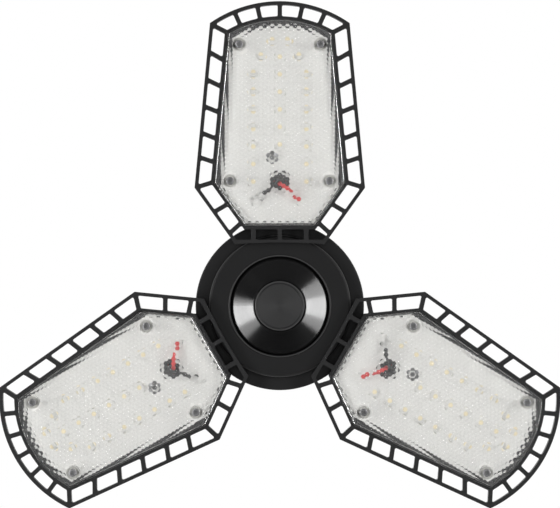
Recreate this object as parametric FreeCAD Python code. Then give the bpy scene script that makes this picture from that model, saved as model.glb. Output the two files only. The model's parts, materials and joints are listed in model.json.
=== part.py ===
"""Deformable garage light: three hinged LED panels round a hub with an E26 screw base.

Frame: millimetres, +Z up. The origin is the tip of the centre contact, so the lamp hangs below it.
Depths inside the lamp are given as w, the distance forward (down) of the hub flange's front face.
One panel is built pointing along +Y with its hinge axis on the X axis, moved out to the hub's ears, and
turned about Z for the others. Distances s on a panel run outwards from its hinge axis.
"""

import FreeCAD, Part
import math
import os

# ---------------------------------------------------------------- driving dimensions

# screw base (E26)
CAP_TOP = 6.0                 # from the contact's tip down to the screw shell's edge
CAP_LENGTH = 27.0             # from the contact's tip to the driver housing's shoulder
THREAD_PITCH = 3.629
THREAD_MINOR_R = 12.33
THREAD_MAJOR_R = 13.05
THREAD_RIDGE_R = 1.05
THREAD_LENGTH = 14.5
SHELL_INNER_R = 11.75
CONTACT_R = 4.5
CONTACT_HEIGHT = 1.5
CONTACT_STEM_R = 2.2
CONTACT_STEM_LENGTH = 7.5

# driver housing
SHOULDER_R = 17.0
NECK_WALL = 1.6
HOUSING_WALL = 2.2
HOUSING_FLARE_INSET = 10.0    # flare's foot in from the hub's side
HOUSING_FLARE_LENGTH = 34.0
HOUSING_LENGTH = 43.0
HOUSING_FLANGE_THICK = 2.5
VENT_COUNT = 18
VENT_WIDTH = 2.4
VENT_LENGTH = 15.0

# hub
HUB_R = 44.0
HUB_WALL = 2.5
HUB_DEPTH = 22.0              # from the flange's front face back to the housing's seat
FLANGE_WIDTH = 3.5
FLANGE_THICK = 3.0
SHELF_THICK = 4.0
SHELF_WIDTH = 16.5
LEDGE_WIDTH = 10.0
LEDGE_DEPTH = 1.0             # ledge's front face behind the flange's front face
LEDGE_THICK = 2.6

# hub face
COVER_INSET = 4.0             # cover's edge in from the hub's side
COVER_PLAY = 0.2
COVER_RAISE = 3.5             # cover's face forward of the flange
COVER_THICK = 2.5
COVER_SKIRT = 2.8
COVER_LIP_WIDTH = 1.1
COVER_LIP_HEIGHT = 0.4
DISH_INSET = 17.2             # cone's edge in from the hub's side
DISH_GROOVE = 1.1             # open ring between the dish and the cover
DISH_FLANGE_WIDTH = 5.2
DISH_DEPTH = 7.0
DISH_WALL = 1.2
CAP_R = 14.0
CAP_THICK = 1.4
CAP_LINE_R = 12.7
CAP_STEM_R = 4.0
CAP_STEM_LENGTH = 3.0

# hinges
PANEL_ANGLES = {"a": 0.0, "b": -120.0, "c": 120.0}
HINGE_STANDOFF = 6.5          # hinge axis out from the flange's edge
HINGE_W = -6.0
KNUCKLE_R = 5.0
KNUCKLE_HALF = 7.5
WASHER_THICK = 0.4
WASHER_R = 4.6
HINGE_PLAY = 0.1
PLAIN_EAR = 4.0
LEAD_EAR = 8.0
PIVOT_R = 2.0
PIVOT_LENGTH = 8.6
PIVOT_HEAD_R = 3.6
PIVOT_HEAD_THICK = 2.0
TUBE_R = 2.6
TUBE_BORE_R = 1.9
TUBE_IN_KNUCKLE = 4.0
TUBE_IN_EAR = 2.5

# panel casting: half-widths v at distances s from the hinge
FRAME_END = (25.05, -19.2)
FRAME_END_BOW = 1.0
FRAME_SHOULDER = (47.8, 12.5)
FRAME_TIP = (39.15, 104.85)
FRAME_APEX_S = 117.1
BAR_WIDTH = 1.95
ARC_BAR_WIDTH = 2.1
END_BAR_WIDTH = 2.6
TRAY_IN_END = 8.35            # tray's edge in from the frame's, by stretch
TRAY_IN_CHAMFER = 8.95
TRAY_IN_SIDE = 8.78
TRAY_IN_ARC = 8.45
RUNG_WIDTH = 2.5
CENTRE_RUNG_WIDTH = 2.3
# rungs' outer and inner ends: shares of a side from its shoulder, and half-widths on the arc
SIDE_RUNGS = ((0.0, 0.0), (0.18, 0.14), (0.33, 0.295), (0.495, 0.47), (0.66, 0.64), (0.83, 0.815), (1.0, 1.0))
ARC_RUNGS = ((12.5, 11.1), (25.0, 22.4))
CHAMFER_RUNGS = ((0.46, 0.47), (0.86, 0.88))
END_RUNG_V = 14.8
OPENING_FILLET = 0.8
LATTICE_BACK_W = 3.9
FRAME_FRONT_W = 7.4
TRAY_BACK_W = 0.6
FLOOR_THICK = 2.0
RIM_SIDE = 1.75
RIM_CHAMFER = 1.2
RIM_END = 2.0
RIM_ARC = 1.5

# panel's back
FIN_START_S = 6.0
FIN_BACK_W = -9.0
FIN_THICK = 1.6
FIN_PITCH = 7.6
FIN_COUNT = 9
FIN_INSET = 1.0
BOSS_R = 3.6
BOSS_BACK_W = -4.0
DUCT_HALF = 7.5
DUCT_END_S = 25.0
DUCT_BACK_W = -8.6
CHANNEL_HALF = 2.4
CHANNEL_FRONT_W = -3.6
CHANNEL_KNUCKLE_BACK_W = -8.4
CHANNEL_END_MARGIN = 2.9
DUCT_COVER_THICK = 1.4
DUCT_COVER_HALF = 6.5
DUCT_SCREWS = ((4.3, 9.0), (-4.3, 22.0))
DUCT_SCREW_R = 1.0
DUCT_SCREW_HEAD_R = 1.9
DUCT_SCREW_HEAD = 1.2
DUCT_SCREW_LENGTH = 5.0

# light board and lens
BOARD_THICK = 1.2
BOARD_SIDE_NEAR = 4.0         # board's edge in from the lens's edge, by stretch
BOARD_SIDE_FAR = 2.0
BOARD_CHAMFER = 1.6
BOARD_END = 1.6
BOARD_ARC = 3.5
LED_LENGTH = 3.5
LED_WIDTH = 2.8
LED_HEIGHT = 0.8
LED_PITCH = 10.0
LED_FIRST_S = 16.5
LED_SIDE_V = 15.2
LED_SIDE_COUNT = 7
LED_CENTRE_SKIP = 2           # rows near the wire hole that the centre column leaves out
LED_CENTRE_COUNT = 6
LED_ROW_V = 10.3
LED_PAIR_V = 4.8
LED_PAIR_STEP = 8.6
CHIP_PARTS = ((-4.5, 42.3), (-12.4, 42.3))
CHIP_SIZE = (1.6, 0.9, 0.6)
GASKET_WIDTH = 1.0
GASKET_HEIGHT = 1.6
GASKET_PLAY = 0.1
LENS_PLAY = 0.15
LENS_FRONT_W = 11.5
LENS_WALL = 1.3
LENS_FACE_THICK = 1.8
LENS_BEVEL = 1.0
LENS_SCREWS = ((22.7, 92.7), (-22.7, 92.7), (27.8, 16.2), (-27.8, 16.2))
LENS_BOSS_R = 3.65
LENS_BOSS_RAISE = 0.4
LENS_SCREW_R = 1.45
LENS_SCREW_HEAD_R = 2.15
LENS_SCREW_HEAD = 1.6
SCREW_PLAY = 0.15
THREAD_PLAY = 0.05
BOARD_SCREW = (4.2, 29.8)
BOARD_SCREW_REACH = 5.5

# grommet, leads and their pads
WIRE_HOLE_S = 16.4
GROMMET_R = 4.0
GROMMET_HEAD_R = 5.0
GROMMET_HEAD = 1.0
GROMMET_BORE_R = 2.0
LEAD_R = 0.75
LEAD_SPACING = 1.7
LEAD_BEND = 3.0
LEAD_ARCH_W = 7.2
PAD_RED = (-11.0, 6.0)
PAD_BLACK = (12.5, 6.0)
PAD_SIZE = (2.6, 2.6, 1.7)
EAR_CHANNEL_R = 2.2

# driver
DRIVER_BOARD_PLAY = 0.5
DRIVER_BOARD_THICK = 1.6
DRIVER_BOARD_W = -12.0        # its front face
POST_INSET = 2.7
POST_SCREW_REACH = 6.0
POST_R = 2.8
TRANSFORMER = (16.0, 14.0, 15.0)
TRANSFORMER_AT = (-9.0, 6.0)
CAPACITOR_R = 5.0
CAPACITOR_LENGTH = 20.0
CAPACITOR_AT = (9.0, 6.0)
CHOKE_R = 4.0
CHOKE_HEIGHT = 9.0
CHOKE_RIM = 0.8
CHOKE_AT = (12.0, -10.0)
FILM_CAPACITOR = (12.0, 5.0, 10.0)
FILM_CAPACITOR_AT = (-10.0, -10.0)
FUSE_R = 2.4
FUSE_HEIGHT = 8.0
FUSE_AT = (-1.0, -17.0)
BRIDGE = (5.0, 4.5, 2.4)
BRIDGE_AT = (4.0, -5.8)
REGULATOR = (5.0, 6.0, 1.6)
REGULATOR_AT = (-19.5, 0.0)
SUPPLY_PADS = ((2.0, 17.0), (-5.0, 17.0))
SUPPLY_DROP = 18.0            # straight run of a supply lead above the board
SUPPLY_STEM = 14.0            # and below the contact
SUPPLY_BENDS = [12.0, 14.0]
SMALL_SCREW_R = 1.25
SMALL_HEAD_R = 2.6
SMALL_HEAD = 1.6
HOUSING_SCREW_INSET = 4.6
COVER_SCREW_INSET = 3.1
HUB_SCREW_ANGLES = (30.0, 150.0, 270.0)
LEAD_ROOT_INSET = 6.5         # where the panel's leads leave the driver board, in from its edge

# ---------------------------------------------------------------- derived sizes and levels

FLANGE_R = HUB_R + FLANGE_WIDTH
SHELF_INNER_R = HUB_R - SHELF_WIDTH
LEDGE_INNER_R = HUB_R - LEDGE_WIDTH
COVER_R = HUB_R - COVER_INSET
DISH_R = HUB_R - DISH_INSET
COVER_HOLE_R = DISH_R + DISH_GROOVE
COVER_LIP_R = COVER_HOLE_R + COVER_LIP_WIDTH
DISH_FLANGE_R = DISH_R + DISH_FLANGE_WIDTH
HOUSING_FLARE_R = HUB_R - HOUSING_FLARE_INSET
HOUSING_SCREW_CIRCLE = HUB_R - HOUSING_SCREW_INSET
COVER_SCREW_CIRCLE = COVER_R - COVER_SCREW_INSET
DRIVER_BOARD_R = LEDGE_INNER_R - DRIVER_BOARD_PLAY
POST_CIRCLE_R = DRIVER_BOARD_R - POST_INSET
LEAD_ROOT_Y = DRIVER_BOARD_R - LEAD_ROOT_INSET
HINGE_U = FLANGE_R + HINGE_STANDOFF

SHOULDER_Z = -CAP_LENGTH
HOUSING_SEAT_Z = SHOULDER_Z - HOUSING_LENGTH
FLANGE_Z = HOUSING_SEAT_Z - HUB_DEPTH
COVER_Z = FLANGE_Z - COVER_RAISE
LEDGE_Z = FLANGE_Z + LEDGE_DEPTH
HINGE_Z = FLANGE_Z - HINGE_W
FLOOR_W = TRAY_BACK_W + FLOOR_THICK
BOARD_W = FLOOR_W + BOARD_THICK
GASKET_W = FLOOR_W + GASKET_HEIGHT
EAR_INNER = KNUCKLE_HALF + HINGE_PLAY + WASHER_THICK
LEAD_EAR_X = EAR_INNER + LEAD_EAR / 2
CROSS_WIDTH = 0.35            # cross recess, as a share of the head's radius
CROSS_DEPTH = 0.5             # and of the head's height

X_AXIS = FreeCAD.Vector(1, 0, 0)
Y_AXIS = FreeCAD.Vector(0, 1, 0)
Z_AXIS = FreeCAD.Vector(0, 0, 1)
ORIGIN = FreeCAD.Vector(0, 0, 0)


# ---------------------------------------------------------------- small helpers

def vec(x, y, z=0.0):
    return FreeCAD.Vector(x, y, z)


def level(w):
    """Height of a depth w measured forward of the hub flange's face."""
    return FLANGE_Z - w


def cylinder(radius, length, base, direction=Z_AXIS):
    return Part.makeCylinder(radius, length, base, direction)


def upright(radius, x, y, low, high):
    """A cylinder along Z between two heights."""
    return cylinder(radius, high - low, vec(x, y, low))


def box(x0, x1, y0, y1, z0, z1):
    return Part.makeBox(x1 - x0, y1 - y0, z1 - z0, vec(x0, y0, z0))


def revolved(points):
    """A closed profile of (radius, height) points turned about Z."""
    corners = [vec(r, 0, z) for r, z in points]
    return Part.Face(Part.makePolygon(corners + corners[:1])).revolve(ORIGIN, Z_AXIS, 360)


def fused(shapes):
    whole = shapes[0].multiFuse(shapes[1:]) if len(shapes) > 1 else shapes[0]
    return whole.removeSplitter()


def turned(shape, degrees):
    copy = shape.copy()
    copy.rotate(ORIGIN, Z_AXIS, degrees)
    return copy


def around(shape, angles):
    return [turned(shape, angle) for angle in angles]


def at_hinge(shape):
    """A panel's shape, moved from its hinge's own axis out to the hub's ears."""
    copy = shape.copy()
    copy.translate(vec(0, HINGE_U))
    return copy


def on_circle(radius, angle):
    return radius * math.cos(math.radians(angle)), radius * math.sin(math.radians(angle))


def save(node, shapes):
    """One STEP file per node; a list becomes a group of separate solids."""
    shape = Part.makeCompound(shapes) if isinstance(shapes, list) else shapes
    shape.exportStep("parts/" + node + ".step")
    print(node, len(shape.Solids), round(shape.Volume, 1), shape.isValid())


def screw(x, y, seat, reach, shank_r, head_r, head, forward=True):
    """A cross-recessed pan-head screw along Z; forward means that its head faces down, towards the room."""
    way = -1.0 if forward else 1.0
    shank = cylinder(shank_r, reach, vec(x, y, seat), vec(0, 0, -way))
    cap = cylinder(head_r, head, vec(x, y, seat), vec(0, 0, way))
    rim = [edge for edge in cap.Edges if abs(edge.CenterOfMass.z - (seat + way * head)) < 1e-6]
    cap = cap.makeFillet(head * 0.4, rim)
    top = seat + way * head
    bottom = top - way * head * CROSS_DEPTH
    low, high = min(top, bottom), max(top, bottom)
    arm, half = head_r * 0.6, head_r * CROSS_WIDTH / 2
    cross = fused([box(x - arm, x + arm, y - half, y + half, low, high),
                   box(x - half, x + half, y - arm, y + arm, low, high)])
    return cap.fuse(shank).removeSplitter().cut(cross)


def tube_path(points, bends):
    """Straight runs joined by tangent arcs, one radius per inner point."""
    edges = []
    start = points[0]
    for before, corner, after, radius in zip(points, points[1:], points[2:], bends):
        inward = (before - corner).normalize()
        outward = (after - corner).normalize()
        turn = math.pi - inward.getAngle(outward)
        reach = radius * math.tan(turn / 2)
        first, last = corner + inward * reach, corner + outward * reach
        middle_way = (inward + outward).normalize()
        centre = corner + middle_way * (radius / math.cos(turn / 2))
        middle = centre - middle_way * radius
        edges.append(Part.LineSegment(start, first).toShape())
        edges.append(Part.Arc(first, middle, last).toShape())
        start = last
    edges.append(Part.LineSegment(start, points[-1]).toShape())
    return Part.Wire(edges)


def lead(points, bends):
    path = tube_path(points, bends)
    section = Part.Wire(Part.makeCircle(LEAD_R, points[0], points[1] - points[0]))
    solid = path.makePipeShell([section], True, False)
    exact = math.pi * LEAD_R ** 2 * path.Length
    print("  lead length %.1f mm, radii %s, volume ratio %.4f" % (path.Length, bends, solid.Volume / exact))
    return solid


# ---------------------------------------------------------------- panel outlines

def inset_line(start, end, distance):
    """A line moved to its left, which is inwards on an outline taken anticlockwise."""
    way = (end - start).normalize()
    left = vec(-way.y, way.x)
    return start + left * distance, way


def crossing(first, second):
    (p, d), (q, e) = first, second
    along = ((q.x - p.x) * e.y - (q.y - p.y) * e.x) / (d.x * e.y - d.y * e.x)
    return p + d * along


def circle_through(tip, apex):
    """Centre height and radius of the arc from -tip over the apex to +tip, centred on v = 0."""
    v, s = tip
    centre = (apex ** 2 - s ** 2 - v ** 2) / (2 * (apex - s))
    return centre, apex - centre


def outline_points(insets=(0.0, 0.0, 0.0, 0.0, 0.0)):
    """Right-hand corners and apex of the frame's outline, moved in at its end, chamfer, side and arc."""
    end_in, chamfer_in, near_in, far_in, arc_in = insets
    low, mid, high = vec(*FRAME_END), vec(*FRAME_SHOULDER), vec(*FRAME_TIP)
    bottom = (vec(0, low.y + end_in), vec(1, 0))
    chamfer = inset_line(low, mid, chamfer_in)
    side_way = (high - mid).normalize()
    left = vec(-side_way.y, side_way.x)
    near, far = mid + left * near_in, high + left * far_in
    side = (near, (far - near).normalize())
    centre, radius = circle_through(FRAME_TIP, FRAME_APEX_S)
    radius -= arc_in
    p, d = side[0] - vec(0, centre), side[1]
    half = p.dot(d)
    reach = -half + math.sqrt(half ** 2 - p.dot(p) + radius ** 2)
    return crossing(bottom, chamfer), crossing(chamfer, side), side[0] + d * reach, vec(0, centre + radius)


def outline_wire(corners, height, bow=0.0):
    """The closed outline at a height; bow draws the end's middle in, so that it curves round the hub."""
    low, mid, high, apex = [corner + vec(0, 0, height) for corner in corners]
    flip = [vec(-p.x, p.y, p.z) for p in (low, mid, high)]
    if bow:
        foot = Part.Arc(flip[0], vec(0, low.y + bow, height), low)
    else:
        foot = Part.LineSegment(flip[0], low)
    return Part.Wire([
        foot.toShape(),
        Part.LineSegment(low, mid).toShape(),
        Part.LineSegment(mid, high).toShape(),
        Part.Arc(high, apex, flip[2]).toShape(),
        Part.LineSegment(flip[2], flip[1]).toShape(),
        Part.LineSegment(flip[1], flip[0]).toShape(),
    ])


def slab(corners, back_w, front_w, bow=0.0):
    """A plate of an outline between two depths."""
    face = Part.Face(outline_wire(corners, level(front_w), bow))
    return face.extrude(vec(0, 0, front_w - back_w))


def summed(*insets):
    return tuple(sum(parts) for parts in zip(*insets))


def all_round(distance):
    return (distance,) * 5


TRAY_IN = (TRAY_IN_END, TRAY_IN_CHAMFER, TRAY_IN_SIDE, TRAY_IN_SIDE, TRAY_IN_ARC)
RIM_IN = (RIM_END, RIM_CHAMFER, RIM_SIDE, RIM_SIDE, RIM_ARC)
BOARD_IN = (BOARD_END, BOARD_CHAMFER, BOARD_SIDE_NEAR, BOARD_SIDE_FAR, BOARD_ARC)
FRAME = outline_points()
BAR_INNER = outline_points((END_BAR_WIDTH, BAR_WIDTH, BAR_WIDTH, BAR_WIDTH, ARC_BAR_WIDTH))
TRAY = outline_points(TRAY_IN)


def seat_outline(extra):
    """The tray's inner wall, moved in by a clearance all round."""
    return outline_points(summed(TRAY_IN, RIM_IN, all_round(extra)))


def board_outline():
    return outline_points(summed(TRAY_IN, RIM_IN, BOARD_IN))


# ---------------------------------------------------------------- panel casting

def rung(outer, inner, width):
    """A bar's footprint from the outer bar to the tray, run a little into both."""
    way = (inner - outer).normalize()
    side = vec(-way.y, way.x) * (width / 2)
    start, end = outer - way * BAR_WIDTH, inner + way * BAR_WIDTH
    corners = [start + side, end + side, end - side, start - side]
    face = Part.Face(Part.makePolygon(corners + corners[:1]))
    face.translate(vec(0, 0, level(FRAME_FRONT_W)))
    return face.extrude(vec(0, 0, FRAME_FRONT_W - LATTICE_BACK_W))


def share(start, end, fraction):
    return start + (end - start) * fraction


def on_arc(corners, v):
    """The point of an outline's end arc at half-width v."""
    _, _, high, apex = corners
    centre, radius = circle_through((high.x, high.y), apex.y)
    return vec(v, centre + math.sqrt(radius ** 2 - v ** 2))


def rungs():
    """All the rungs of one panel; those off the centre line come in mirrored pairs."""
    low_out, mid_out, high_out, _ = BAR_INNER
    low_in, mid_in, high_in, _ = TRAY
    pairs = [(share(mid_out, high_out, a), share(mid_in, high_in, b)) for a, b in SIDE_RUNGS]
    pairs += [(share(mid_out, low_out, a), share(mid_in, low_in, b)) for a, b in CHAMFER_RUNGS]
    pairs += [(on_arc(BAR_INNER, a), on_arc(TRAY, b)) for a, b in ARC_RUNGS]
    pairs.append((vec(END_RUNG_V, low_out.y), vec(END_RUNG_V, low_in.y)))
    bars = []
    for outer, inner in pairs:
        bars.append(rung(outer, inner, RUNG_WIDTH))
        bars.append(rung(vec(-outer.x, outer.y), vec(-inner.x, inner.y), RUNG_WIDTH))
    bars.append(rung(BAR_INNER[3], TRAY[3], RUNG_WIDTH))
    bars.append(rung(vec(0, low_out.y), vec(0, low_in.y), CENTRE_RUNG_WIDTH))
    return bars


def lattice_openings():
    """The openings between the outer bar, the tray and the rungs, with rounded corners."""
    ring = slab(BAR_INNER, LATTICE_BACK_W, FRAME_FRONT_W).cut(slab(TRAY, LATTICE_BACK_W, FRAME_FRONT_W))
    rounded = []
    for opening in ring.cut(fused(rungs())).Solids:
        walls = [edge for edge in opening.Edges
                 if abs(edge.Vertexes[0].Z - edge.Vertexes[-1].Z) > FRAME_FRONT_W - LATTICE_BACK_W - 0.1]
        rounded.append(opening.makeFillet(OPENING_FILLET, walls))
    return rounded


def fins():
    """Straight fins along the panel's back, ended square to its outline."""
    reach = slab(outline_points(summed(TRAY_IN, all_round(FIN_INSET))), FIN_BACK_W, TRAY_BACK_W)
    blades = []
    for i in range(FIN_COUNT):
        x = (i - (FIN_COUNT - 1) / 2) * FIN_PITCH
        start = FIN_START_S if abs(x) > DUCT_HALF - FIN_THICK else DUCT_END_S
        blades.append(box(x - FIN_THICK / 2, x + FIN_THICK / 2, start, TRAY[3].y,
                          level(TRAY_BACK_W), level(FIN_BACK_W)))
    return [blade.common(reach) for blade in blades]


def panel_casting():
    frame = slab(FRAME, LATTICE_BACK_W, FRAME_FRONT_W, FRAME_END_BOW)
    frame = frame.cut(Part.makeCompound(lattice_openings()))
    tray = slab(TRAY, TRAY_BACK_W, FRAME_FRONT_W)
    bosses = [upright(BOSS_R, x, s, level(TRAY_BACK_W), level(BOSS_BACK_W))
              for x, s in LENS_SCREWS + (BOARD_SCREW,)]
    knuckle = cylinder(KNUCKLE_R, 2 * KNUCKLE_HALF, vec(-KNUCKLE_HALF, 0, HINGE_Z), X_AXIS)
    web = box(-KNUCKLE_HALF, KNUCKLE_HALF, -KNUCKLE_R, KNUCKLE_R,
              level(TRAY_BACK_W), HINGE_Z)
    duct = box(-DUCT_HALF, DUCT_HALF, 0, DUCT_END_S, level(TRAY_BACK_W), level(DUCT_BACK_W))
    casting = fused([frame, tray, knuckle, web, duct] + bosses + fins())
    cuts = [slab(seat_outline(0), FLOOR_W, FRAME_FRONT_W)]
    channel_end = WIRE_HOLE_S + CHANNEL_END_MARGIN
    cuts.append(box(-CHANNEL_HALF, CHANNEL_HALF, -CHANNEL_HALF, channel_end,
                    level(CHANNEL_FRONT_W), level(CHANNEL_KNUCKLE_BACK_W)))
    cuts.append(box(-CHANNEL_HALF, CHANNEL_HALF, FIN_START_S, channel_end,
                    level(CHANNEL_FRONT_W), level(DUCT_BACK_W)))
    cuts.append(upright(CHANNEL_HALF, 0, WIRE_HOLE_S, level(TRAY_BACK_W), level(CHANNEL_FRONT_W)))
    cuts.append(upright(GROMMET_R + THREAD_PLAY, 0, WIRE_HOLE_S, level(FLOOR_W), level(TRAY_BACK_W)))
    cuts.append(cylinder(TUBE_R + THREAD_PLAY, KNUCKLE_HALF, vec(0, 0, HINGE_Z), X_AXIS))
    cuts.append(cylinder(PIVOT_R + THREAD_PLAY, KNUCKLE_HALF, vec(-KNUCKLE_HALF, 0, HINGE_Z), X_AXIS))
    for x, s in LENS_SCREWS + (BOARD_SCREW,):
        cuts.append(upright(LENS_SCREW_R + THREAD_PLAY, x, s, level(FLOOR_W), level(BOSS_BACK_W + 0.6)))
    for x, s in DUCT_SCREWS:
        cuts.append(upright(DUCT_SCREW_R + THREAD_PLAY, x, s,
                            level(DUCT_BACK_W + DUCT_SCREW_LENGTH), level(DUCT_BACK_W)))
    return casting.cut(Part.makeCompound(cuts))


# ---------------------------------------------------------------- panel's inside

def pad_angle(pad):
    """Direction of the lead's last run over the board, in degrees from +X."""
    return math.degrees(math.atan2(pad[1] - WIRE_HOLE_S, pad[0]))


def solder_pad(pad):
    length, width, height = PAD_SIZE
    block = box(0, length, -width / 2, width / 2, level(BOARD_W + height), level(BOARD_W))
    block.rotate(ORIGIN, Z_AXIS, pad_angle(pad))
    block.translate(vec(*pad))
    return block


def led_board():
    board = slab(board_outline(), FLOOR_W, BOARD_W)
    holes = [upright(LENS_SCREW_R + SCREW_PLAY, x, s, level(BOARD_W), level(FLOOR_W))
             for x, s in LENS_SCREWS + (BOARD_SCREW,)]
    holes.append(upright(GROMMET_R + SCREW_PLAY, 0, WIRE_HOLE_S, level(BOARD_W), level(FLOOR_W)))
    board = board.cut(Part.makeCompound(holes))
    length, width, height = CHIP_SIZE
    chips = [box(x - length / 2, x + length / 2, s - width / 2, s + width / 2,
                 level(BOARD_W + height), level(BOARD_W)) for x, s in CHIP_PARTS]
    return [board, solder_pad(PAD_RED), solder_pad(PAD_BLACK)] + chips


def led_places():
    places = [(side * LED_SIDE_V, LED_FIRST_S + i * LED_PITCH)
              for side in (-1, 1) for i in range(LED_SIDE_COUNT)]
    centre_first = LED_FIRST_S + LED_CENTRE_SKIP * LED_PITCH
    places += [(0.0, centre_first + i * LED_PITCH) for i in range(LED_CENTRE_COUNT)]
    row_s = centre_first + (LED_CENTRE_COUNT - 1) * LED_PITCH
    places += [(side * LED_ROW_V, row_s) for side in (-1, 1)]
    places += [(side * LED_PAIR_V, row_s + LED_PAIR_STEP) for side in (-1, 1)]
    return places


def led_chips():
    return [box(x - LED_LENGTH / 2, x + LED_LENGTH / 2, s - LED_WIDTH / 2, s + LED_WIDTH / 2,
                level(BOARD_W + LED_HEIGHT), level(BOARD_W)) for x, s in led_places()]


def lens():
    """A shallow clear cap with bevelled edges and four screw posts that press the board down."""
    edge, face = seat_outline(LENS_PLAY), seat_outline(LENS_PLAY + LENS_BEVEL)
    inner_w = LENS_FRONT_W - LENS_FACE_THICK
    bevel = Part.makeLoft([outline_wire(edge, level(FRAME_FRONT_W)),
                           outline_wire(face, level(LENS_FRONT_W))], True, True)
    cap = slab(edge, GASKET_W, FRAME_FRONT_W).fuse(bevel)
    cap = cap.cut(slab(seat_outline(LENS_PLAY + LENS_WALL), GASKET_W, inner_w))
    posts = [upright(LENS_BOSS_R, x, s, level(LENS_FRONT_W + LENS_BOSS_RAISE), level(BOARD_W))
             for x, s in LENS_SCREWS]
    cap = fused([cap] + posts)
    seat_w = LENS_FRONT_W - LENS_SCREW_HEAD + LENS_BOSS_RAISE / 2
    recess_r = LENS_SCREW_HEAD_R + 2 * SCREW_PLAY
    holes = []
    for x, s in LENS_SCREWS:
        holes.append(upright(LENS_SCREW_R + SCREW_PLAY, x, s, level(LENS_FRONT_W + 1), level(BOARD_W)))
        holes.append(upright(recess_r, x, s, level(LENS_FRONT_W + 1), level(seat_w)))
    return cap.cut(Part.makeCompound(holes))


def lens_screws():
    seat_w = LENS_FRONT_W - LENS_SCREW_HEAD + LENS_BOSS_RAISE / 2
    reach = seat_w - BOSS_BACK_W - 1.0
    return [screw(x, s, level(seat_w), reach, LENS_SCREW_R, LENS_SCREW_HEAD_R, LENS_SCREW_HEAD)
            for x, s in LENS_SCREWS]


def board_screw():
    x, s = BOARD_SCREW
    return screw(x, s, level(BOARD_W), BOARD_SCREW_REACH, LENS_SCREW_R, SMALL_HEAD_R, SMALL_HEAD)


def lens_gasket():
    outer = slab(seat_outline(GASKET_PLAY), FLOOR_W, GASKET_W)
    return outer.cut(slab(seat_outline(GASKET_PLAY + GASKET_WIDTH), FLOOR_W, GASKET_W))


def lead_grommet():
    barrel = upright(GROMMET_R, 0, WIRE_HOLE_S, level(BOARD_W), level(TRAY_BACK_W))
    head = upright(GROMMET_HEAD_R, 0, WIRE_HOLE_S, level(BOARD_W + GROMMET_HEAD), level(BOARD_W))
    bore = upright(GROMMET_BORE_R, 0, WIRE_HOLE_S, level(BOARD_W + GROMMET_HEAD), level(TRAY_BACK_W))
    return barrel.fuse(head).removeSplitter().cut(bore)


def panel_lead(pad, offset):
    """From the hinge's axis through the duct and the grommet to a pad; offset is its place in the pair."""
    run_z = HINGE_Z - offset
    hole_s = WIRE_HOLE_S - offset
    angle = math.radians(pad_angle(pad))
    start_x = KNUCKLE_HALF - TUBE_IN_KNUCKLE - 0.4
    rest_w = BOARD_W + LEAD_R + 0.1
    drop = (LEAD_ARCH_W - rest_w) * 1.6
    landing = vec(pad[0] - drop * math.cos(angle) * 0.5, pad[1] - drop * math.sin(angle) * 0.5, level(rest_w))
    brow = landing - vec(math.cos(angle), math.sin(angle)) * drop + vec(0, 0, -(LEAD_ARCH_W - rest_w))
    points = [vec(start_x, 0, run_z), vec(0, 0, run_z), vec(0, hole_s, run_z),
              vec(0, hole_s, level(LEAD_ARCH_W)), brow, landing, vec(pad[0], pad[1], level(rest_w))]
    return points


def duct_cover():
    plate = box(-DUCT_COVER_HALF, DUCT_COVER_HALF, FIN_START_S, DUCT_END_S - HINGE_PLAY,
                level(DUCT_BACK_W), level(DUCT_BACK_W - DUCT_COVER_THICK))
    corners = [edge for edge in plate.Edges if abs(edge.Vertexes[0].Z - edge.Vertexes[-1].Z) > 0.1]
    plate = plate.makeFillet(2 * OPENING_FILLET, corners)
    seat = level(DUCT_BACK_W - DUCT_COVER_THICK)
    holes = [upright(DUCT_SCREW_R + SCREW_PLAY, x, s, level(DUCT_BACK_W), seat) for x, s in DUCT_SCREWS]
    return plate.cut(Part.makeCompound(holes))


def duct_cover_screws():
    seat = level(DUCT_BACK_W - DUCT_COVER_THICK)
    return [screw(x, s, seat, DUCT_COVER_THICK + DUCT_SCREW_LENGTH - 0.5, DUCT_SCREW_R,
                  DUCT_SCREW_HEAD_R, DUCT_SCREW_HEAD, forward=False) for x, s in DUCT_SCREWS]


# ---------------------------------------------------------------- screw base and housing

def centre_contact():
    dome = cylinder(CONTACT_R, CONTACT_HEIGHT, vec(0, 0, -CONTACT_HEIGHT))
    rim = [edge for edge in dome.Edges if abs(edge.CenterOfMass.z) < 1e-6]
    dome = dome.makeFillet(CONTACT_HEIGHT * 0.6, rim)
    stem_end = -CONTACT_HEIGHT - CONTACT_STEM_LENGTH
    return dome.fuse(upright(CONTACT_STEM_R, 0, 0, stem_end, -CONTACT_HEIGHT)).removeSplitter()


def base_insulator():
    """The cone between the contact and the shell, seated on the housing's neck."""
    seat = -CAP_TOP - NECK_WALL
    return revolved([
        (CONTACT_STEM_R + THREAD_PLAY, -CONTACT_HEIGHT), (CONTACT_R + 1.2, -CONTACT_HEIGHT),
        (SHELL_INNER_R - THREAD_PLAY, -CAP_TOP), (SHELL_INNER_R - THREAD_PLAY, seat),
        (CONTACT_STEM_R + THREAD_PLAY, seat)])


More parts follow.
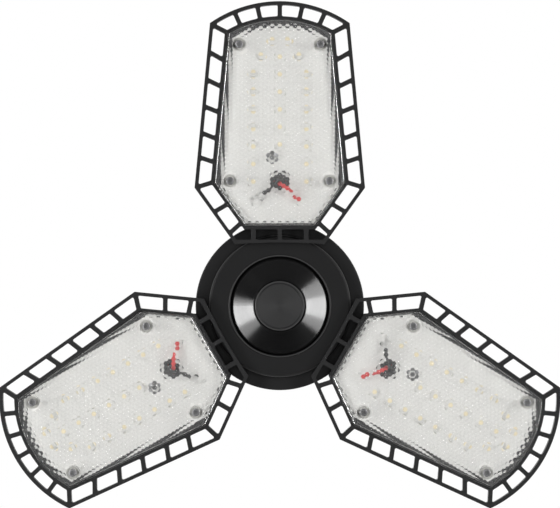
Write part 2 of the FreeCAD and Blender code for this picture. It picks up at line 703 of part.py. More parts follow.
def screw_shell():
    """A threaded shell: a tube with one rounded helical ridge, plain below the thread."""
    tube = upright(THREAD_MINOR_R, 0, 0, SHOULDER_Z, -CAP_TOP)
    ridge_r = THREAD_MAJOR_R - THREAD_RIDGE_R
    helix = Part.makeHelix(THREAD_PITCH, THREAD_LENGTH, ridge_r)
    pitch_angle = math.atan2(THREAD_PITCH, 2 * math.pi * ridge_r)
    start_way = vec(0, math.cos(pitch_angle), math.sin(pitch_angle))
    section = Part.Wire(Part.makeCircle(THREAD_RIDGE_R, vec(ridge_r, 0, 0), start_way))
    ridge = Part.Wire(helix.Edges).makePipeShell([section], True, True)
    ridge.translate(vec(0, 0, -CAP_TOP - THREAD_RIDGE_R - 0.6 - THREAD_LENGTH))
    return tube.fuse(ridge).cut(upright(SHELL_INNER_R, 0, 0, SHOULDER_Z - 1, -CAP_TOP + 1))


def driver_housing():
    neck_r = SHELL_INNER_R - THREAD_PLAY
    neck_top = -CAP_TOP - NECK_WALL
    flare_z = SHOULDER_Z - 3.0
    flare_end = flare_z - HOUSING_FLARE_LENGTH
    flange_top = HOUSING_SEAT_Z + HOUSING_FLANGE_THICK
    flange_r = HUB_R - 0.5
    outside = [(neck_r, neck_top), (neck_r, SHOULDER_Z), (SHOULDER_R - 1.0, SHOULDER_Z),
               (SHOULDER_R, SHOULDER_Z - 1.0), (SHOULDER_R, flare_z), (HOUSING_FLARE_R, flare_end),
               (HOUSING_FLARE_R, flange_top), (flange_r, flange_top), (flange_r, HOUSING_SEAT_Z)]
    inside = [(HOUSING_FLARE_R - HOUSING_WALL, HOUSING_SEAT_Z), (HOUSING_FLARE_R - HOUSING_WALL, flare_end),
              (SHOULDER_R - HOUSING_WALL, flare_z), (SHOULDER_R - HOUSING_WALL, SHOULDER_Z - HOUSING_WALL),
              (neck_r - NECK_WALL, SHOULDER_Z - HOUSING_WALL), (neck_r - NECK_WALL, neck_top)]
    shell = revolved(outside + inside)
    vent_top = (flare_z + flare_end) / 2 + VENT_LENGTH / 2
    vent = box(SHOULDER_R - HOUSING_WALL, HUB_R, -VENT_WIDTH / 2, VENT_WIDTH / 2,
               vent_top - VENT_LENGTH, vent_top)
    cuts = around(vent, [i * 360.0 / VENT_COUNT for i in range(VENT_COUNT)])
    for angle in HUB_SCREW_ANGLES:
        x, y = on_circle(HOUSING_SCREW_CIRCLE, angle)
        cuts.append(upright(SMALL_SCREW_R + SCREW_PLAY, x, y, HOUSING_SEAT_Z, flange_top))
    return shell.cut(Part.makeCompound(cuts))


def housing_screws():
    seat = HOUSING_SEAT_Z + HOUSING_FLANGE_THICK
    reach = HOUSING_FLANGE_THICK + SHELF_THICK - 0.5
    places = [on_circle(HOUSING_SCREW_CIRCLE, angle) for angle in HUB_SCREW_ANGLES]
    return [screw(x, y, seat, reach, SMALL_SCREW_R, SMALL_HEAD_R, SMALL_HEAD, forward=False)
            for x, y in places]


# ---------------------------------------------------------------- hub

def ear(low_x, high_x):
    """One hinge ear for the panel along +Y, rounded about the hinge's axis."""
    eye = cylinder(KNUCKLE_R, high_x - low_x, vec(low_x, HINGE_U, HINGE_Z), X_AXIS)
    arm = box(low_x, high_x, HUB_R - 3 * HUB_WALL, HINGE_U, HINGE_Z - KNUCKLE_R, HINGE_Z + KNUCKLE_R)
    return eye.fuse(arm).removeSplitter()


def ear_cuts():
    """Bores of one pair of ears: pivot screw on one side, pivot tube and lead channel on the other."""
    return [
        cylinder(PIVOT_R + THREAD_PLAY, PLAIN_EAR, vec(-EAR_INNER - PLAIN_EAR, HINGE_U, HINGE_Z), X_AXIS),
        cylinder(TUBE_R + THREAD_PLAY, LEAD_EAR / 2, vec(EAR_INNER, HINGE_U, HINGE_Z), X_AXIS),
        cylinder(EAR_CHANNEL_R, HINGE_U - LEDGE_INNER_R + EAR_CHANNEL_R,
                 vec(LEAD_EAR_X, LEDGE_INNER_R, HINGE_Z), Y_AXIS),
    ]


def hub_body():
    top_z = HOUSING_SEAT_Z
    wall_in = HUB_R - HUB_WALL
    shell = revolved([
        (COVER_R + COVER_PLAY, FLANGE_Z), (FLANGE_R - 0.6, FLANGE_Z), (FLANGE_R, FLANGE_Z + 0.6),
        (FLANGE_R, FLANGE_Z + FLANGE_THICK), (HUB_R, FLANGE_Z + FLANGE_THICK), (HUB_R, top_z),
        (SHELF_INNER_R, top_z), (SHELF_INNER_R, top_z - SHELF_THICK), (wall_in, top_z - SHELF_THICK),
        (wall_in, LEDGE_Z + LEDGE_THICK), (LEDGE_INNER_R, LEDGE_Z + LEDGE_THICK), (LEDGE_INNER_R, LEDGE_Z),
        (COVER_R + COVER_PLAY, LEDGE_Z)])
    pieces = [shell]
    pieces += around(ear(-EAR_INNER - PLAIN_EAR, -EAR_INNER), PANEL_ANGLES.values())
    pieces += around(ear(EAR_INNER, EAR_INNER + LEAD_EAR), PANEL_ANGLES.values())
    board_back = level(DRIVER_BOARD_W) + DRIVER_BOARD_THICK
    for angle in HUB_SCREW_ANGLES:
        x, y = on_circle(POST_CIRCLE_R, angle)
        pieces.append(upright(POST_R, x, y, board_back, top_z - SHELF_THICK))
    body = fused(pieces)
    cuts = []
    keep_clear = revolved([(0, LEDGE_Z + LEDGE_THICK), (wall_in, LEDGE_Z + LEDGE_THICK),
                           (wall_in, board_back - 2 * DRIVER_BOARD_THICK),
                           (0, board_back - 2 * DRIVER_BOARD_THICK)])
    cuts.append(keep_clear)
    for angle in PANEL_ANGLES.values():
        cuts += [turned(cut, angle) for cut in ear_cuts()]
    for angle in HUB_SCREW_ANGLES:
        x, y = on_circle(HOUSING_SCREW_CIRCLE, angle)
        cuts.append(upright(SMALL_SCREW_R + THREAD_PLAY, x, y, top_z - SHELF_THICK, top_z))
        x, y = on_circle(POST_CIRCLE_R, angle)
        cuts.append(upright(SMALL_SCREW_R + THREAD_PLAY, x, y, board_back, top_z - 1.0))
        x, y = on_circle(COVER_SCREW_CIRCLE, angle + 60)
        cuts.append(upright(SMALL_SCREW_R + SCREW_PLAY, x, y, LEDGE_Z, LEDGE_Z + LEDGE_THICK))
    return body.cut(Part.makeCompound(cuts))


def front_cover():
    """The raised ring on the hub's face, with a fine lip round its hole and three screw bosses behind."""
    back = COVER_Z + COVER_THICK
    skirt_in = COVER_R - COVER_SKIRT
    plate = revolved([
        (COVER_HOLE_R, COVER_Z - COVER_LIP_HEIGHT), (COVER_LIP_R - 0.3, COVER_Z - COVER_LIP_HEIGHT),
        (COVER_LIP_R, COVER_Z), (COVER_R - 1.2, COVER_Z), (COVER_R, COVER_Z + 1.2), (COVER_R, LEDGE_Z),
        (skirt_in, LEDGE_Z), (skirt_in, back), (COVER_HOLE_R, back)])
    bosses, holes = [], []
    for angle in HUB_SCREW_ANGLES:
        x, y = on_circle(COVER_SCREW_CIRCLE, angle + 60)
        bosses.append(upright(SMALL_HEAD_R, x, y, back, LEDGE_Z))
        holes.append(upright(SMALL_SCREW_R + THREAD_PLAY, x, y, back - 1.0, LEDGE_Z))
    return fused([plate] + bosses).cut(Part.makeCompound(holes))


def cover_screws():
    seat = LEDGE_Z + LEDGE_THICK
    places = [on_circle(COVER_SCREW_CIRCLE, angle + 60) for angle in HUB_SCREW_ANGLES]
    return [screw(x, y, seat, LEDGE_THICK + 2.4, SMALL_SCREW_R, SMALL_HEAD_R, SMALL_HEAD, forward=False)
            for x, y in places]


def dish_levels():
    """Heights of the dish's rim, its flange's seat, and its floor's front."""
    rim = COVER_Z + 0.3
    return rim, COVER_Z + COVER_THICK, rim + DISH_DEPTH


def dish_ring():
    """A turned cone sunk in the hub's face, with a flange behind the cover and a flat floor."""
    rim, seat, floor = dish_levels()
    slope = (floor - rim) / (DISH_R - 0.6 - CAP_R)
    back_drop = DISH_WALL * math.sqrt(1 + slope ** 2)
    foot_r = DISH_R - DISH_WALL
    foot_z = seat + DISH_WALL
    cone_at_foot = rim + back_drop + (DISH_R - 0.6 - foot_r) * slope
    return revolved([
        (CAP_STEM_R + THREAD_PLAY, floor), (CAP_R, floor), (DISH_R - 0.6, rim), (DISH_R, rim),
        (DISH_R, seat), (DISH_FLANGE_R, seat), (DISH_FLANGE_R, foot_z), (foot_r, foot_z),
        (foot_r, cone_at_foot), (CAP_R + 0.5, floor + DISH_WALL),
        (CAP_STEM_R + THREAD_PLAY, floor + DISH_WALL)])


def centre_cap():
    """A flat round cap with a fine line near its edge and a stem through the dish's floor."""
    _, _, floor = dish_levels()
    face = floor - CAP_THICK
    groove = 0.25
    return revolved([
        (0, face), (CAP_LINE_R - groove, face), (CAP_LINE_R, face + groove), (CAP_LINE_R + groove, face),
        (CAP_R - groove, face), (CAP_R, face + groove), (CAP_R, floor), (CAP_STEM_R, floor),
        (CAP_STEM_R, floor + CAP_STEM_LENGTH), (0, floor + CAP_STEM_LENGTH)])


# ---------------------------------------------------------------- hinge hardware

def pivot_screw():
    head_x = -EAR_INNER - PLAIN_EAR
    shank = cylinder(PIVOT_R, PIVOT_LENGTH, vec(head_x, HINGE_U, HINGE_Z), X_AXIS)
    head = cylinder(PIVOT_HEAD_R, PIVOT_HEAD_THICK, vec(head_x - PIVOT_HEAD_THICK, HINGE_U, HINGE_Z), X_AXIS)
    arm, half = PIVOT_HEAD_R * 0.6, PIVOT_HEAD_R * CROSS_WIDTH / 2
    deep = PIVOT_HEAD_THICK * CROSS_DEPTH
    left = head_x - PIVOT_HEAD_THICK
    cross = fused([box(left, left + deep, HINGE_U - arm, HINGE_U + arm, HINGE_Z - half, HINGE_Z + half),
                   box(left, left + deep, HINGE_U - half, HINGE_U + half, HINGE_Z - arm, HINGE_Z + arm)])
    return head.fuse(shank).removeSplitter().cut(cross)


def pivot_tube():
    base = vec(KNUCKLE_HALF - TUBE_IN_KNUCKLE, HINGE_U, HINGE_Z)
    length = TUBE_IN_KNUCKLE + (EAR_INNER - KNUCKLE_HALF) + TUBE_IN_EAR
    outside = cylinder(TUBE_R, length, base, X_AXIS)
    return outside.cut(cylinder(TUBE_BORE_R, length, base, X_AXIS))


def hinge_washers():
    """One washer against each ear's inner face."""
    washers = []
    for face_x, bore in ((-EAR_INNER, PIVOT_R), (EAR_INNER - WASHER_THICK, TUBE_R)):
        disc = cylinder(WASHER_R, WASHER_THICK, vec(face_x, HINGE_U, HINGE_Z), X_AXIS)
        hole = cylinder(bore + THREAD_PLAY, WASHER_THICK, vec(face_x, HINGE_U, HINGE_Z), X_AXIS)
        washers.append(disc.cut(hole))
    return washers


# ---------------------------------------------------------------- driver

BOARD_FRONT_Z = level(DRIVER_BOARD_W)
BOARD_BACK_Z = BOARD_FRONT_Z + DRIVER_BOARD_THICK


def driver_board():
    disc = upright(DRIVER_BOARD_R, 0, 0, BOARD_FRONT_Z, BOARD_BACK_Z)
    places = [on_circle(POST_CIRCLE_R, angle) for angle in HUB_SCREW_ANGLES]
    holes = [upright(SMALL_SCREW_R + SCREW_PLAY, x, y, BOARD_FRONT_Z, BOARD_BACK_Z) for x, y in places]
    return disc.cut(Part.makeCompound(holes))


def driver_board_screws():
    places = [on_circle(POST_CIRCLE_R, angle) for angle in HUB_SCREW_ANGLES]
    return [screw(x, y, BOARD_FRONT_Z, POST_SCREW_REACH, SMALL_SCREW_R, SMALL_HEAD_R, SMALL_HEAD)
            for x, y in places]


def centred(size, low, high, at=(0.0, 0.0)):
    """A block of a length and width about a point of the board, between two heights."""
    (length, width), (x, y) = size, at
    return box(x - length / 2, x + length / 2, y - width / 2, y + width / 2, low, high)


def transformer():
    length, width, height = TRANSFORMER
    z, at = BOARD_BACK_Z, TRANSFORMER_AT
    core = centred((length, width / 2), z + 1.0, z + height, at)
    winding = centred((length * 0.72, width), z + 2.6, z + height - 1.6, at)
    foot = centred((length * 0.9, width), z, z + 1.0, at)
    return fused([core, winding, foot])


def electrolytic_capacitor():
    x, y = CAPACITOR_AT
    can = upright(CAPACITOR_R, x, y, BOARD_BACK_Z, BOARD_BACK_Z + CAPACITOR_LENGTH)
    rim = [edge for edge in can.Edges if abs(edge.CenterOfMass.z - BOARD_BACK_Z - CAPACITOR_LENGTH) < 1e-6]
    return can.makeFillet(0.12 * CAPACITOR_R, rim)


def driver_parts():
    """Choke, film capacitor, fuse, bridge rectifier and regulator on the driver board."""
    z = BOARD_BACK_Z
    x, y = CHOKE_AT
    choke = fused([upright(CHOKE_R, x, y, z, z + CHOKE_HEIGHT),
                   upright(CHOKE_R + CHOKE_RIM, x, y, z, z + CHOKE_RIM),
                   upright(CHOKE_R + CHOKE_RIM, x, y, z + CHOKE_HEIGHT - CHOKE_RIM, z + CHOKE_HEIGHT)])
    blocks = [centred(size[:2], z, z + size[2], at) for size, at in
              ((FILM_CAPACITOR, FILM_CAPACITOR_AT), (BRIDGE, BRIDGE_AT), (REGULATOR, REGULATOR_AT))]
    fuse = upright(FUSE_R, *FUSE_AT, z, z + FUSE_HEIGHT)
    return [choke, fuse] + blocks


def supply_leads():
    """Two leads from the screw base down to the driver board."""
    contact_end = -CONTACT_HEIGHT - CONTACT_STEM_LENGTH
    side_x = SHELL_INNER_R - NECK_WALL - LEAD_R - 0.4
    starts = ((0.0, contact_end, contact_end - SUPPLY_STEM), (-side_x, -CAP_TOP - NECK_WALL, SHOULDER_Z))
    turn_z = BOARD_BACK_Z + SUPPLY_DROP
    paths = [[vec(x, 0, start_z), vec(x, 0, bend_z), vec(*pad, turn_z), vec(*pad, BOARD_BACK_Z)]
             for (x, start_z, bend_z), pad in zip(starts, SUPPLY_PADS)]
    return [lead(path, SUPPLY_BENDS) for path in paths]


def hub_lead(offset):
    """From the driver board's front out through the ear's channel to the hinge's axis."""
    run_z = HINGE_Z - offset
    root_y = LEAD_ROOT_Y - offset
    end_x = KNUCKLE_HALF - TUBE_IN_KNUCKLE
    return lead([vec(LEAD_EAR_X, root_y, BOARD_FRONT_Z), vec(LEAD_EAR_X, root_y, run_z),
                 vec(LEAD_EAR_X, HINGE_U, run_z), vec(end_x, HINGE_U, run_z)], [LEAD_BEND, 2 * LEAD_R])


# ---------------------------------------------------------------- the lamp

def hub_nodes():
    angles = list(PANEL_ANGLES.values())
    half = LEAD_SPACING / 2
    return {
        "centre_contact": centre_contact(),
        "base_insulator": base_insulator(),
        "screw_shell": screw_shell(),
        "driver_housing": driver_housing(),
        "housing_screws": housing_screws(),
        "hub_body": hub_body(),
        "front_cover": front_cover(),
        "cover_screws": cover_screws(),
        "dish_ring": dish_ring(),
        "centre_cap": centre_cap(),
        "pivot_screws": around(pivot_screw(), angles),
        "pivot_tubes": around(pivot_tube(), angles),
        "hinge_washers": [turned(washer, angle) for angle in angles for washer in hinge_washers()],
        "driver_board": driver_board(),
        "driver_board_screws": driver_board_screws(),
        "transformer": transformer(),
        "electrolytic_capacitor": electrolytic_capacitor(),
        "driver_parts": driver_parts(),
        "supply_leads": supply_leads(),
        "hub_red_leads": around(hub_lead(half), angles),
        "hub_black_leads": around(hub_lead(-half), angles),
    }


def panel_nodes():
    half = LEAD_SPACING / 2
    bends = [2 * LEAD_R, LEAD_BEND, LEAD_BEND, LEAD_BEND, LEAD_BEND]
    return {
        "casting": panel_casting(),
        "led_board": led_board(),
        "led_chips": led_chips(),
        "lens_gasket": lens_gasket(),
        "lens": lens(),
        "lens_screws": lens_screws(),
        "board_screw": board_screw(),
        "lead_grommet": lead_grommet(),
        "red_lead": lead(panel_lead(PAD_RED, half), bends),
        "black_lead": lead(panel_lead(PAD_BLACK, -half), bends),
        "duct_cover": duct_cover(),
        "duct_cover_screws": duct_cover_screws(),
    }


os.makedirs("parts", exist_ok=True)
for name, shape in hub_nodes().items():
    save(name, shape)
panel = panel_nodes()
for letter, angle in PANEL_ANGLES.items():
    for name, shape in panel.items():
        solids = shape if isinstance(shape, list) else [shape]
        placed = [turned(at_hinge(solid), angle) for solid in solids]
        save("panel_%s_%s" % (letter, name), placed if len(placed) > 1 else placed[0])
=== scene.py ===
"""Finish of a deformable garage light: three folding LED panels round a hub, seen from below.

Metres, +Z up, in the model's own frame. The lamp hangs by its screw base, so its lit face looks down.
"""

import bmesh
import bpy
import json
import logging
import math
from dataclasses import dataclass
from enum import Enum
from mathutils import Matrix, Vector
from typing import Any, Dict, List, Optional, Sequence, Tuple, Union

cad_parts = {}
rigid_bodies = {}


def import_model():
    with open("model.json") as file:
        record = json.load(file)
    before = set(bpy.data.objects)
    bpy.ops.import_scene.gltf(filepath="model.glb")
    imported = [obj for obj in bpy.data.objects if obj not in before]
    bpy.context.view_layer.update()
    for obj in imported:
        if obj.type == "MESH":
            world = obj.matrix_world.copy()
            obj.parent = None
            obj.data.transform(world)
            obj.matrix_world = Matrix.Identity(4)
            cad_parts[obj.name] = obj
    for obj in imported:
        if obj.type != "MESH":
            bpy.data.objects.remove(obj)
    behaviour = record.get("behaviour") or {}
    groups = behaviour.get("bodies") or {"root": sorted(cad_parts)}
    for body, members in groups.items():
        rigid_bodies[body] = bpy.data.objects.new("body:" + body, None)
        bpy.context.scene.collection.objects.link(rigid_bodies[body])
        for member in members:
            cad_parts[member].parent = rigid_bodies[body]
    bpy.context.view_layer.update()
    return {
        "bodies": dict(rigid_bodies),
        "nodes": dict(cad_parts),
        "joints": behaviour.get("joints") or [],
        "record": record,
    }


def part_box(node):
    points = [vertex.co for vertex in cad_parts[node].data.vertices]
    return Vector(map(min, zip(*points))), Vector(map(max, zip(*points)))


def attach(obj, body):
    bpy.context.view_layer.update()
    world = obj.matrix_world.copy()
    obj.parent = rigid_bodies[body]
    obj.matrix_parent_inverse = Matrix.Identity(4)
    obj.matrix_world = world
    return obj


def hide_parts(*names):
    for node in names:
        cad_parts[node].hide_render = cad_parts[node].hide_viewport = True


LOG = logging.getLogger("garage_light")
MM = 0.001
WELD = 0.001 * MM
SHORTEST = 0.01 * MM
Colour = Tuple[float, float, float]


class Panel(Enum):
    """The three light panels, by the turn in degrees that brings each from +Y to its place."""

    A = 0.0
    B = -120.0
    C = 120.0

    @property
    def body(self) -> str:
        """Name of the body that the panel's pieces ride on."""
        return "panel_" + self.name.lower()

    @property
    def turn(self) -> Matrix:
        """Turn about the hub's axis from the panel's own frame to the lamp's."""
        return Matrix.Rotation(math.radians(self.value), 4, "Z")

    def node(self, part: str) -> str:
        """Name of one of the panel's nodes.

        Args:
            part: the node's name without the panel's.

        Returns:
            The node's full name.
        """
        return self.body + "_" + part


# ---------------------------------------------------------------- shader expressions

class Value:
    """A number that varies over a surface, for use in plain expressions."""

    def __init__(self, graph: "Graph", output: bpy.types.NodeSocket) -> None:
        """Wraps an output socket.

        Args:
            graph: the node tree that it belongs to.
            output: the socket that holds the number.
        """
        self.graph = graph
        self.output = output

    def _math(self, operation: str, first: Any, second: Any = 0.0) -> "Value":
        """Adds one Math node.

        Args:
            operation: the node's operation.
            first: the first operand.
            second: the second operand.

        Returns:
            The node's result.
        """
        return self.graph.node("ShaderNodeMath", {"operation": operation}, {0: first, 1: second})

    def __add__(self, other: Any) -> "Value":
        """Sum."""
        return self._math("ADD", self, other)

    def __radd__(self, other: Any) -> "Value":
        """Sum, from the right."""
        return self._math("ADD", other, self)

    def __sub__(self, other: Any) -> "Value":
        """Difference."""
        return self._math("SUBTRACT", self, other)

    def __rsub__(self, other: Any) -> "Value":
        """Difference, from the right."""
        return self._math("SUBTRACT", other, self)

    def __mul__(self, other: Any) -> "Value":
        """Product."""
        return self._math("MULTIPLY", self, other)

    def __rmul__(self, other: Any) -> "Value":
        """Product, from the right."""
        return self._math("MULTIPLY", other, self)

    def __truediv__(self, other: Any) -> "Value":
        """Quotient."""
        return self._math("DIVIDE", self, other)

    def __pow__(self, other: Any) -> "Value":
        """Power."""
        return self._math("POWER", self, other)

    def __gt__(self, other: Any) -> "Value":
        """1 where this is greater, else 0."""
        return self._math("GREATER_THAN", self, other)

    def __lt__(self, other: Any) -> "Value":
        """1 where this is less, else 0."""
        return self._math("LESS_THAN", self, other)

    def __abs__(self) -> "Value":
        """Size without sign."""
        return self._math("ABSOLUTE", self)

    def wave(self, period: float) -> "Value":
        """Distance from the nearest whole multiple of a period."""
        return self._math("PINGPONG", self, period / 2)


class Graph:
    """A material or world under construction."""

    def __init__(self, owner: Union[bpy.types.Material, bpy.types.World]) -> None:
        """Clears the owner's nodes.

        Args:
            owner: the material or world to build.
        """
        owner.use_nodes = True
        self.tree = owner.node_tree
        self.tree.nodes.clear()

    def node(self, kind: str, settings: Optional[Dict[str, Any]] = None,
             inputs: Optional[Dict[Union[int, str], Any]] = None, output: Union[int, str] = 0) -> Value:
        """Adds any node.

        Args:
            kind: the node's type.
            settings: its properties, set first.
            inputs: numbers, colours or results for its sockets.
            output: which of its outputs to hand back.

        Returns:
            That output.
        """
        node = self.tree.nodes.new(kind)
        for name, setting in (settings or {}).items():
            setattr(node, name, setting)
        for name, given in (inputs or {}).items():
            if isinstance(given, Value):
                self.tree.links.new(given.output, node.inputs[name])
            else:
                node.inputs[name].default_value = given
        return Value(self, node.outputs[output])

    def place(self, turn: float = 0.0, scale: Sequence[float] = (1.0, 1.0, 1.0)) -> Value:
        """The point on the piece in the lamp's own metres.

        Args:
            turn: degrees about Z that the pattern is turned by.
            scale: stretch along each axis.

        Returns:
            The turned and stretched point.
        """
        point = self.node("ShaderNodeTexCoord", output="Object")
        turned = self.node("ShaderNodeMapping", {},
                           {"Vector": point, "Rotation": (0, 0, math.radians(-turn))})
        return self.node("ShaderNodeMapping", {}, {"Vector": turned, "Scale": tuple(scale)})

    def axes(self, point: Value) -> Tuple[Value, Value, Value]:
        """Splits a point.

        Args:
            point: the point.

        Returns:
            Its x, y and z.
        """
        node = self.node("ShaderNodeSeparateXYZ", {}, {"Vector": point}).output.node
        return Value(self, node.outputs[0]), Value(self, node.outputs[1]), Value(self, node.outputs[2])

    def radius(self, point: Value) -> Value:
        """Distance from the lamp's axis.

        Args:
            point: the point on the piece.

        Returns:
            Its distance in metres.
        """
        x, y, _ = self.axes(point)
        return (x * x + y * y) ** 0.5

    def noise(self, point: Value, size: float, detail: float = 2.0) -> Value:
        """Cloudy noise between 0 and 1.

        Args:
            point: where it is read.
            size: width of its blotches in metres.
            detail: number of finer layers.

        Returns:
            The noise.
        """
        return self.node("ShaderNodeTexNoise", {}, {"Vector": point, "Scale": 1.0 / size, "Detail": detail},
                         "Fac")

    def tint(self, share: Any, low: Union[Colour, Value], high: Union[Colour, Value]) -> Value:
        """Blends two colours.

        Args:
            share: 0 gives the low colour and 1 the high one.
            low: first colour, or a blend made before.
            high: second colour, or a blend made before.

        Returns:
            The blended colour.
        """
        ends = {6: low, 7: high}
        filled = {key: end if isinstance(end, Value) else (*end, 1.0) for key, end in ends.items()}
        return self.node("ShaderNodeMix", {"data_type": "RGBA"}, {0: share, **filled}, 2)

    def paint_rim_highlight(self, colour: Value, point: Value, rims: Sequence[float], painted_highlight_colour: Colour,
               reach: float = 0.25 * MM) -> Value:
        """Paints a highlight onto the round rims: a pale band in the base colour that stands in for the light
        they catch.

        Args:
            colour: the colour elsewhere.
            point: the point on the piece.
            rims: the edges' radii about the lamp's axis.
            painted_highlight_colour: the colour on an edge.
            reach: how far to each side of a radius the edge goes, in metres.

        Returns:
            The colour everywhere.
        """
        radius = self.radius(point)
        for rim in rims:
            colour = self.tint(abs(radius - rim) < reach, colour, painted_highlight_colour)
        return colour

    def relief(self, height: Value, depth: float, radius: float = 0.0) -> Value:
        """Surface direction from a height pattern, over softened edges.

        Args:
            height: the pattern, 0 to 1.
            depth: its depth in metres.
            radius: how far edges are rounded, in metres.

        Returns:
            The direction for a Normal socket.
        """
        inputs: Dict[Union[int, str], Any] = {"Height": height, "Distance": depth, "Strength": 1.0}
        if radius:
            inputs["Normal"] = self.node("ShaderNodeBevel", {"samples": 4}, {"Radius": radius})
        return self.node("ShaderNodeBump", {}, inputs)

    def surface(self, **sockets: Any) -> Value:
        """The main shader.

        Args:
            sockets: its values, with words joined by underscores.

        Returns:
            The shader.
        """
        named = {name.replace("_", " "): given for name, given in sockets.items()}
        return self.node("ShaderNodeBsdfPrincipled", {}, named)

    def close(self, shader: Value, kind: str = "ShaderNodeOutputMaterial") -> None:
        """Ends the tree in its output.

        Args:
            shader: what shows.
            kind: the output node's type.
        """
        end = self.tree.nodes.new(kind)
        self.tree.links.new(shader.output, end.inputs["Surface"])


# ---------------------------------------------------------------- finishes

# Painted highlight: the pale colour laid on round rims, standing in for the light that they catch.
PAINTED_HIGHLIGHT_GREY = (0.048, 0.048, 0.048)


@dataclass(frozen=True)
class Finish:
    """A surface finish; the subclasses say how it is laid."""

    name: str
    colour: Colour
    roughness: float = 0.5

    def lay(self, graph: Graph) -> None:
        """Fills the material's tree.

        Args:
            graph: the tree to fill.
        """
        raise NotImplementedError

    def material(self) -> bpy.types.Material:
        """Makes the material, once.

        Returns:
            The material of this finish's name.
        """
        found = bpy.data.materials.get(self.name)
        if found:
            return found
        made = bpy.data.materials.new(self.name)
        self.lay(Graph(made))
        return made


@dataclass(frozen=True)
class Grained(Finish):
    """Moulded plastic or powder coat: a fine grain over broad, faint changes of gloss."""

    grain: float = 0.4 * MM
    depth: float = 0.02 * MM
    paler: float = 1.5
    edge: float = 0.3 * MM
    coat: float = 0.0
    specular: float = 0.5
    # Radii of the rims that get a painted highlight, and the highlight's colour.
    rims: Tuple[float, ...] = ()
    painted_highlight_colour: Colour = PAINTED_HIGHLIGHT_GREY
    cloud: float = 22 * MM
    detail: float = 3.0
    cloud_share: float = 0.65
    cloud_gloss: float = 0.14
    grain_gloss: float = 0.10

    def lay(self, graph: Graph) -> None:
        """Fills the tree.

        Args:
            graph: the tree to fill.
        """
        point = graph.place()
        grain = graph.noise(point, self.grain, self.detail)
        broad = graph.noise(point, self.cloud, self.detail)
        light = tuple(channel * self.paler for channel in self.colour)
        mottled = graph.tint(self.cloud_share * broad + (1.0 - self.cloud_share) * grain, self.colour, light)
        # The base colour carries a painted highlight on the listed rims.
        graph.close(graph.surface(
            Base_Color=graph.paint_rim_highlight(mottled, point, self.rims, self.painted_highlight_colour),
            Roughness=self.roughness + self.cloud_gloss * (broad - 0.5) + self.grain_gloss * (grain - 0.5),
            Normal=graph.relief(grain, self.depth, self.edge),
            Coat_Weight=self.coat, Specular_IOR_Level=self.specular))


@dataclass(frozen=True)
class Turned(Finish):
    """A dark face with the fine rings that turning leaves, which draw light out into wedges."""

    ring: float = 0.5 * MM
    depth: float = 0.0012 * MM
    brushing: float = 0.75
    index: float = 1.5
    turned_to: float = 26.1 * MM
    # Radii of the rims that get a painted highlight, and the highlight's colour.
    rims: Tuple[float, ...] = ()
    painted_highlight_colour: Colour = PAINTED_HIGHLIGHT_GREY
    cloud: float = 15 * MM
    paler: float = 1.6
    ring_gloss: float = 0.12
    cloud_gloss: float = 0.05
    along_rings: float = 0.25
    # The rim beyond turned_to is dull and reflects little: partly its own unpolished finish, partly painted
    # shade that darkens the groove.
    groove: Colour = (0.002, 0.002, 0.002)
    groove_roughness: float = 0.7
    groove_cloud: float = 0.1
    groove_specular: float = 0.1

    def lay(self, graph: Graph) -> None:
        """Fills the tree.

        Args:
            graph: the tree to fill.
        """
        point = graph.place()
        radius = graph.radius(point)
        rings = graph.node("ShaderNodeTexNoise", {"noise_dimensions": "1D"},
                           {"W": radius, "Scale": 1.0 / self.ring, "Detail": 3.0}, "Fac")
        broad = graph.noise(point, self.cloud)
        lighter = tuple(channel * self.paler for channel in self.colour)
        # The base colour carries a painted highlight on the listed rims.
        face = graph.surface(
            Base_Color=graph.paint_rim_highlight(graph.tint(rings, self.colour, lighter), point, self.rims, self.painted_highlight_colour),
            Roughness=self.roughness + self.ring_gloss * (rings - 0.5) + self.cloud_gloss * (broad - 0.5),
            Normal=graph.relief(rings, self.depth),
            Anisotropic=self.brushing, Anisotropic_Rotation=self.along_rings, IOR=self.index)
        # Dull, weakly reflecting rim: partly its own finish, partly painted shade in the groove.
        groove = graph.surface(
            Base_Color=(*self.groove, 1.0),
            Roughness=self.groove_roughness + self.groove_cloud * broad,
            Specular_IOR_Level=self.groove_specular)
        graph.close(graph.node("ShaderNodeMixShader", {}, {0: radius > self.turned_to, 1: face, 2: groove}))


@dataclass(frozen=True)
class Plated(Finish):
    """Bright or dull metal with fine scratches and faint clouding."""

    scratch: Tuple[float, float, float] = (1.0, 1.0, 0.08)
    dull: Colour = (0.45, 0.44, 0.42)
    edge: float = 0.1 * MM
    depth: float = 0.004 * MM
    scratch_width: float = 0.15 * MM
    cloud: float = 5 * MM
    scratch_gloss: float = 0.2
    cloud_gloss: float = 0.12

    def lay(self, graph: Graph) -> None:
        """Fills the tree.

        Args:
            graph: the tree to fill.
        """
        scratches = graph.noise(graph.place(scale=self.scratch), self.scratch_width)
        cloud = graph.noise(graph.place(), self.cloud, 4.0)
        graph.close(graph.surface(
            Base_Color=graph.tint(cloud, self.dull, self.colour),
            Metallic=1.0,
            Roughness=(self.roughness + self.scratch_gloss * (scratches - 0.5)
                       + self.cloud_gloss * (cloud - 0.5)),
            Normal=graph.relief(scratches, self.depth, self.edge)))


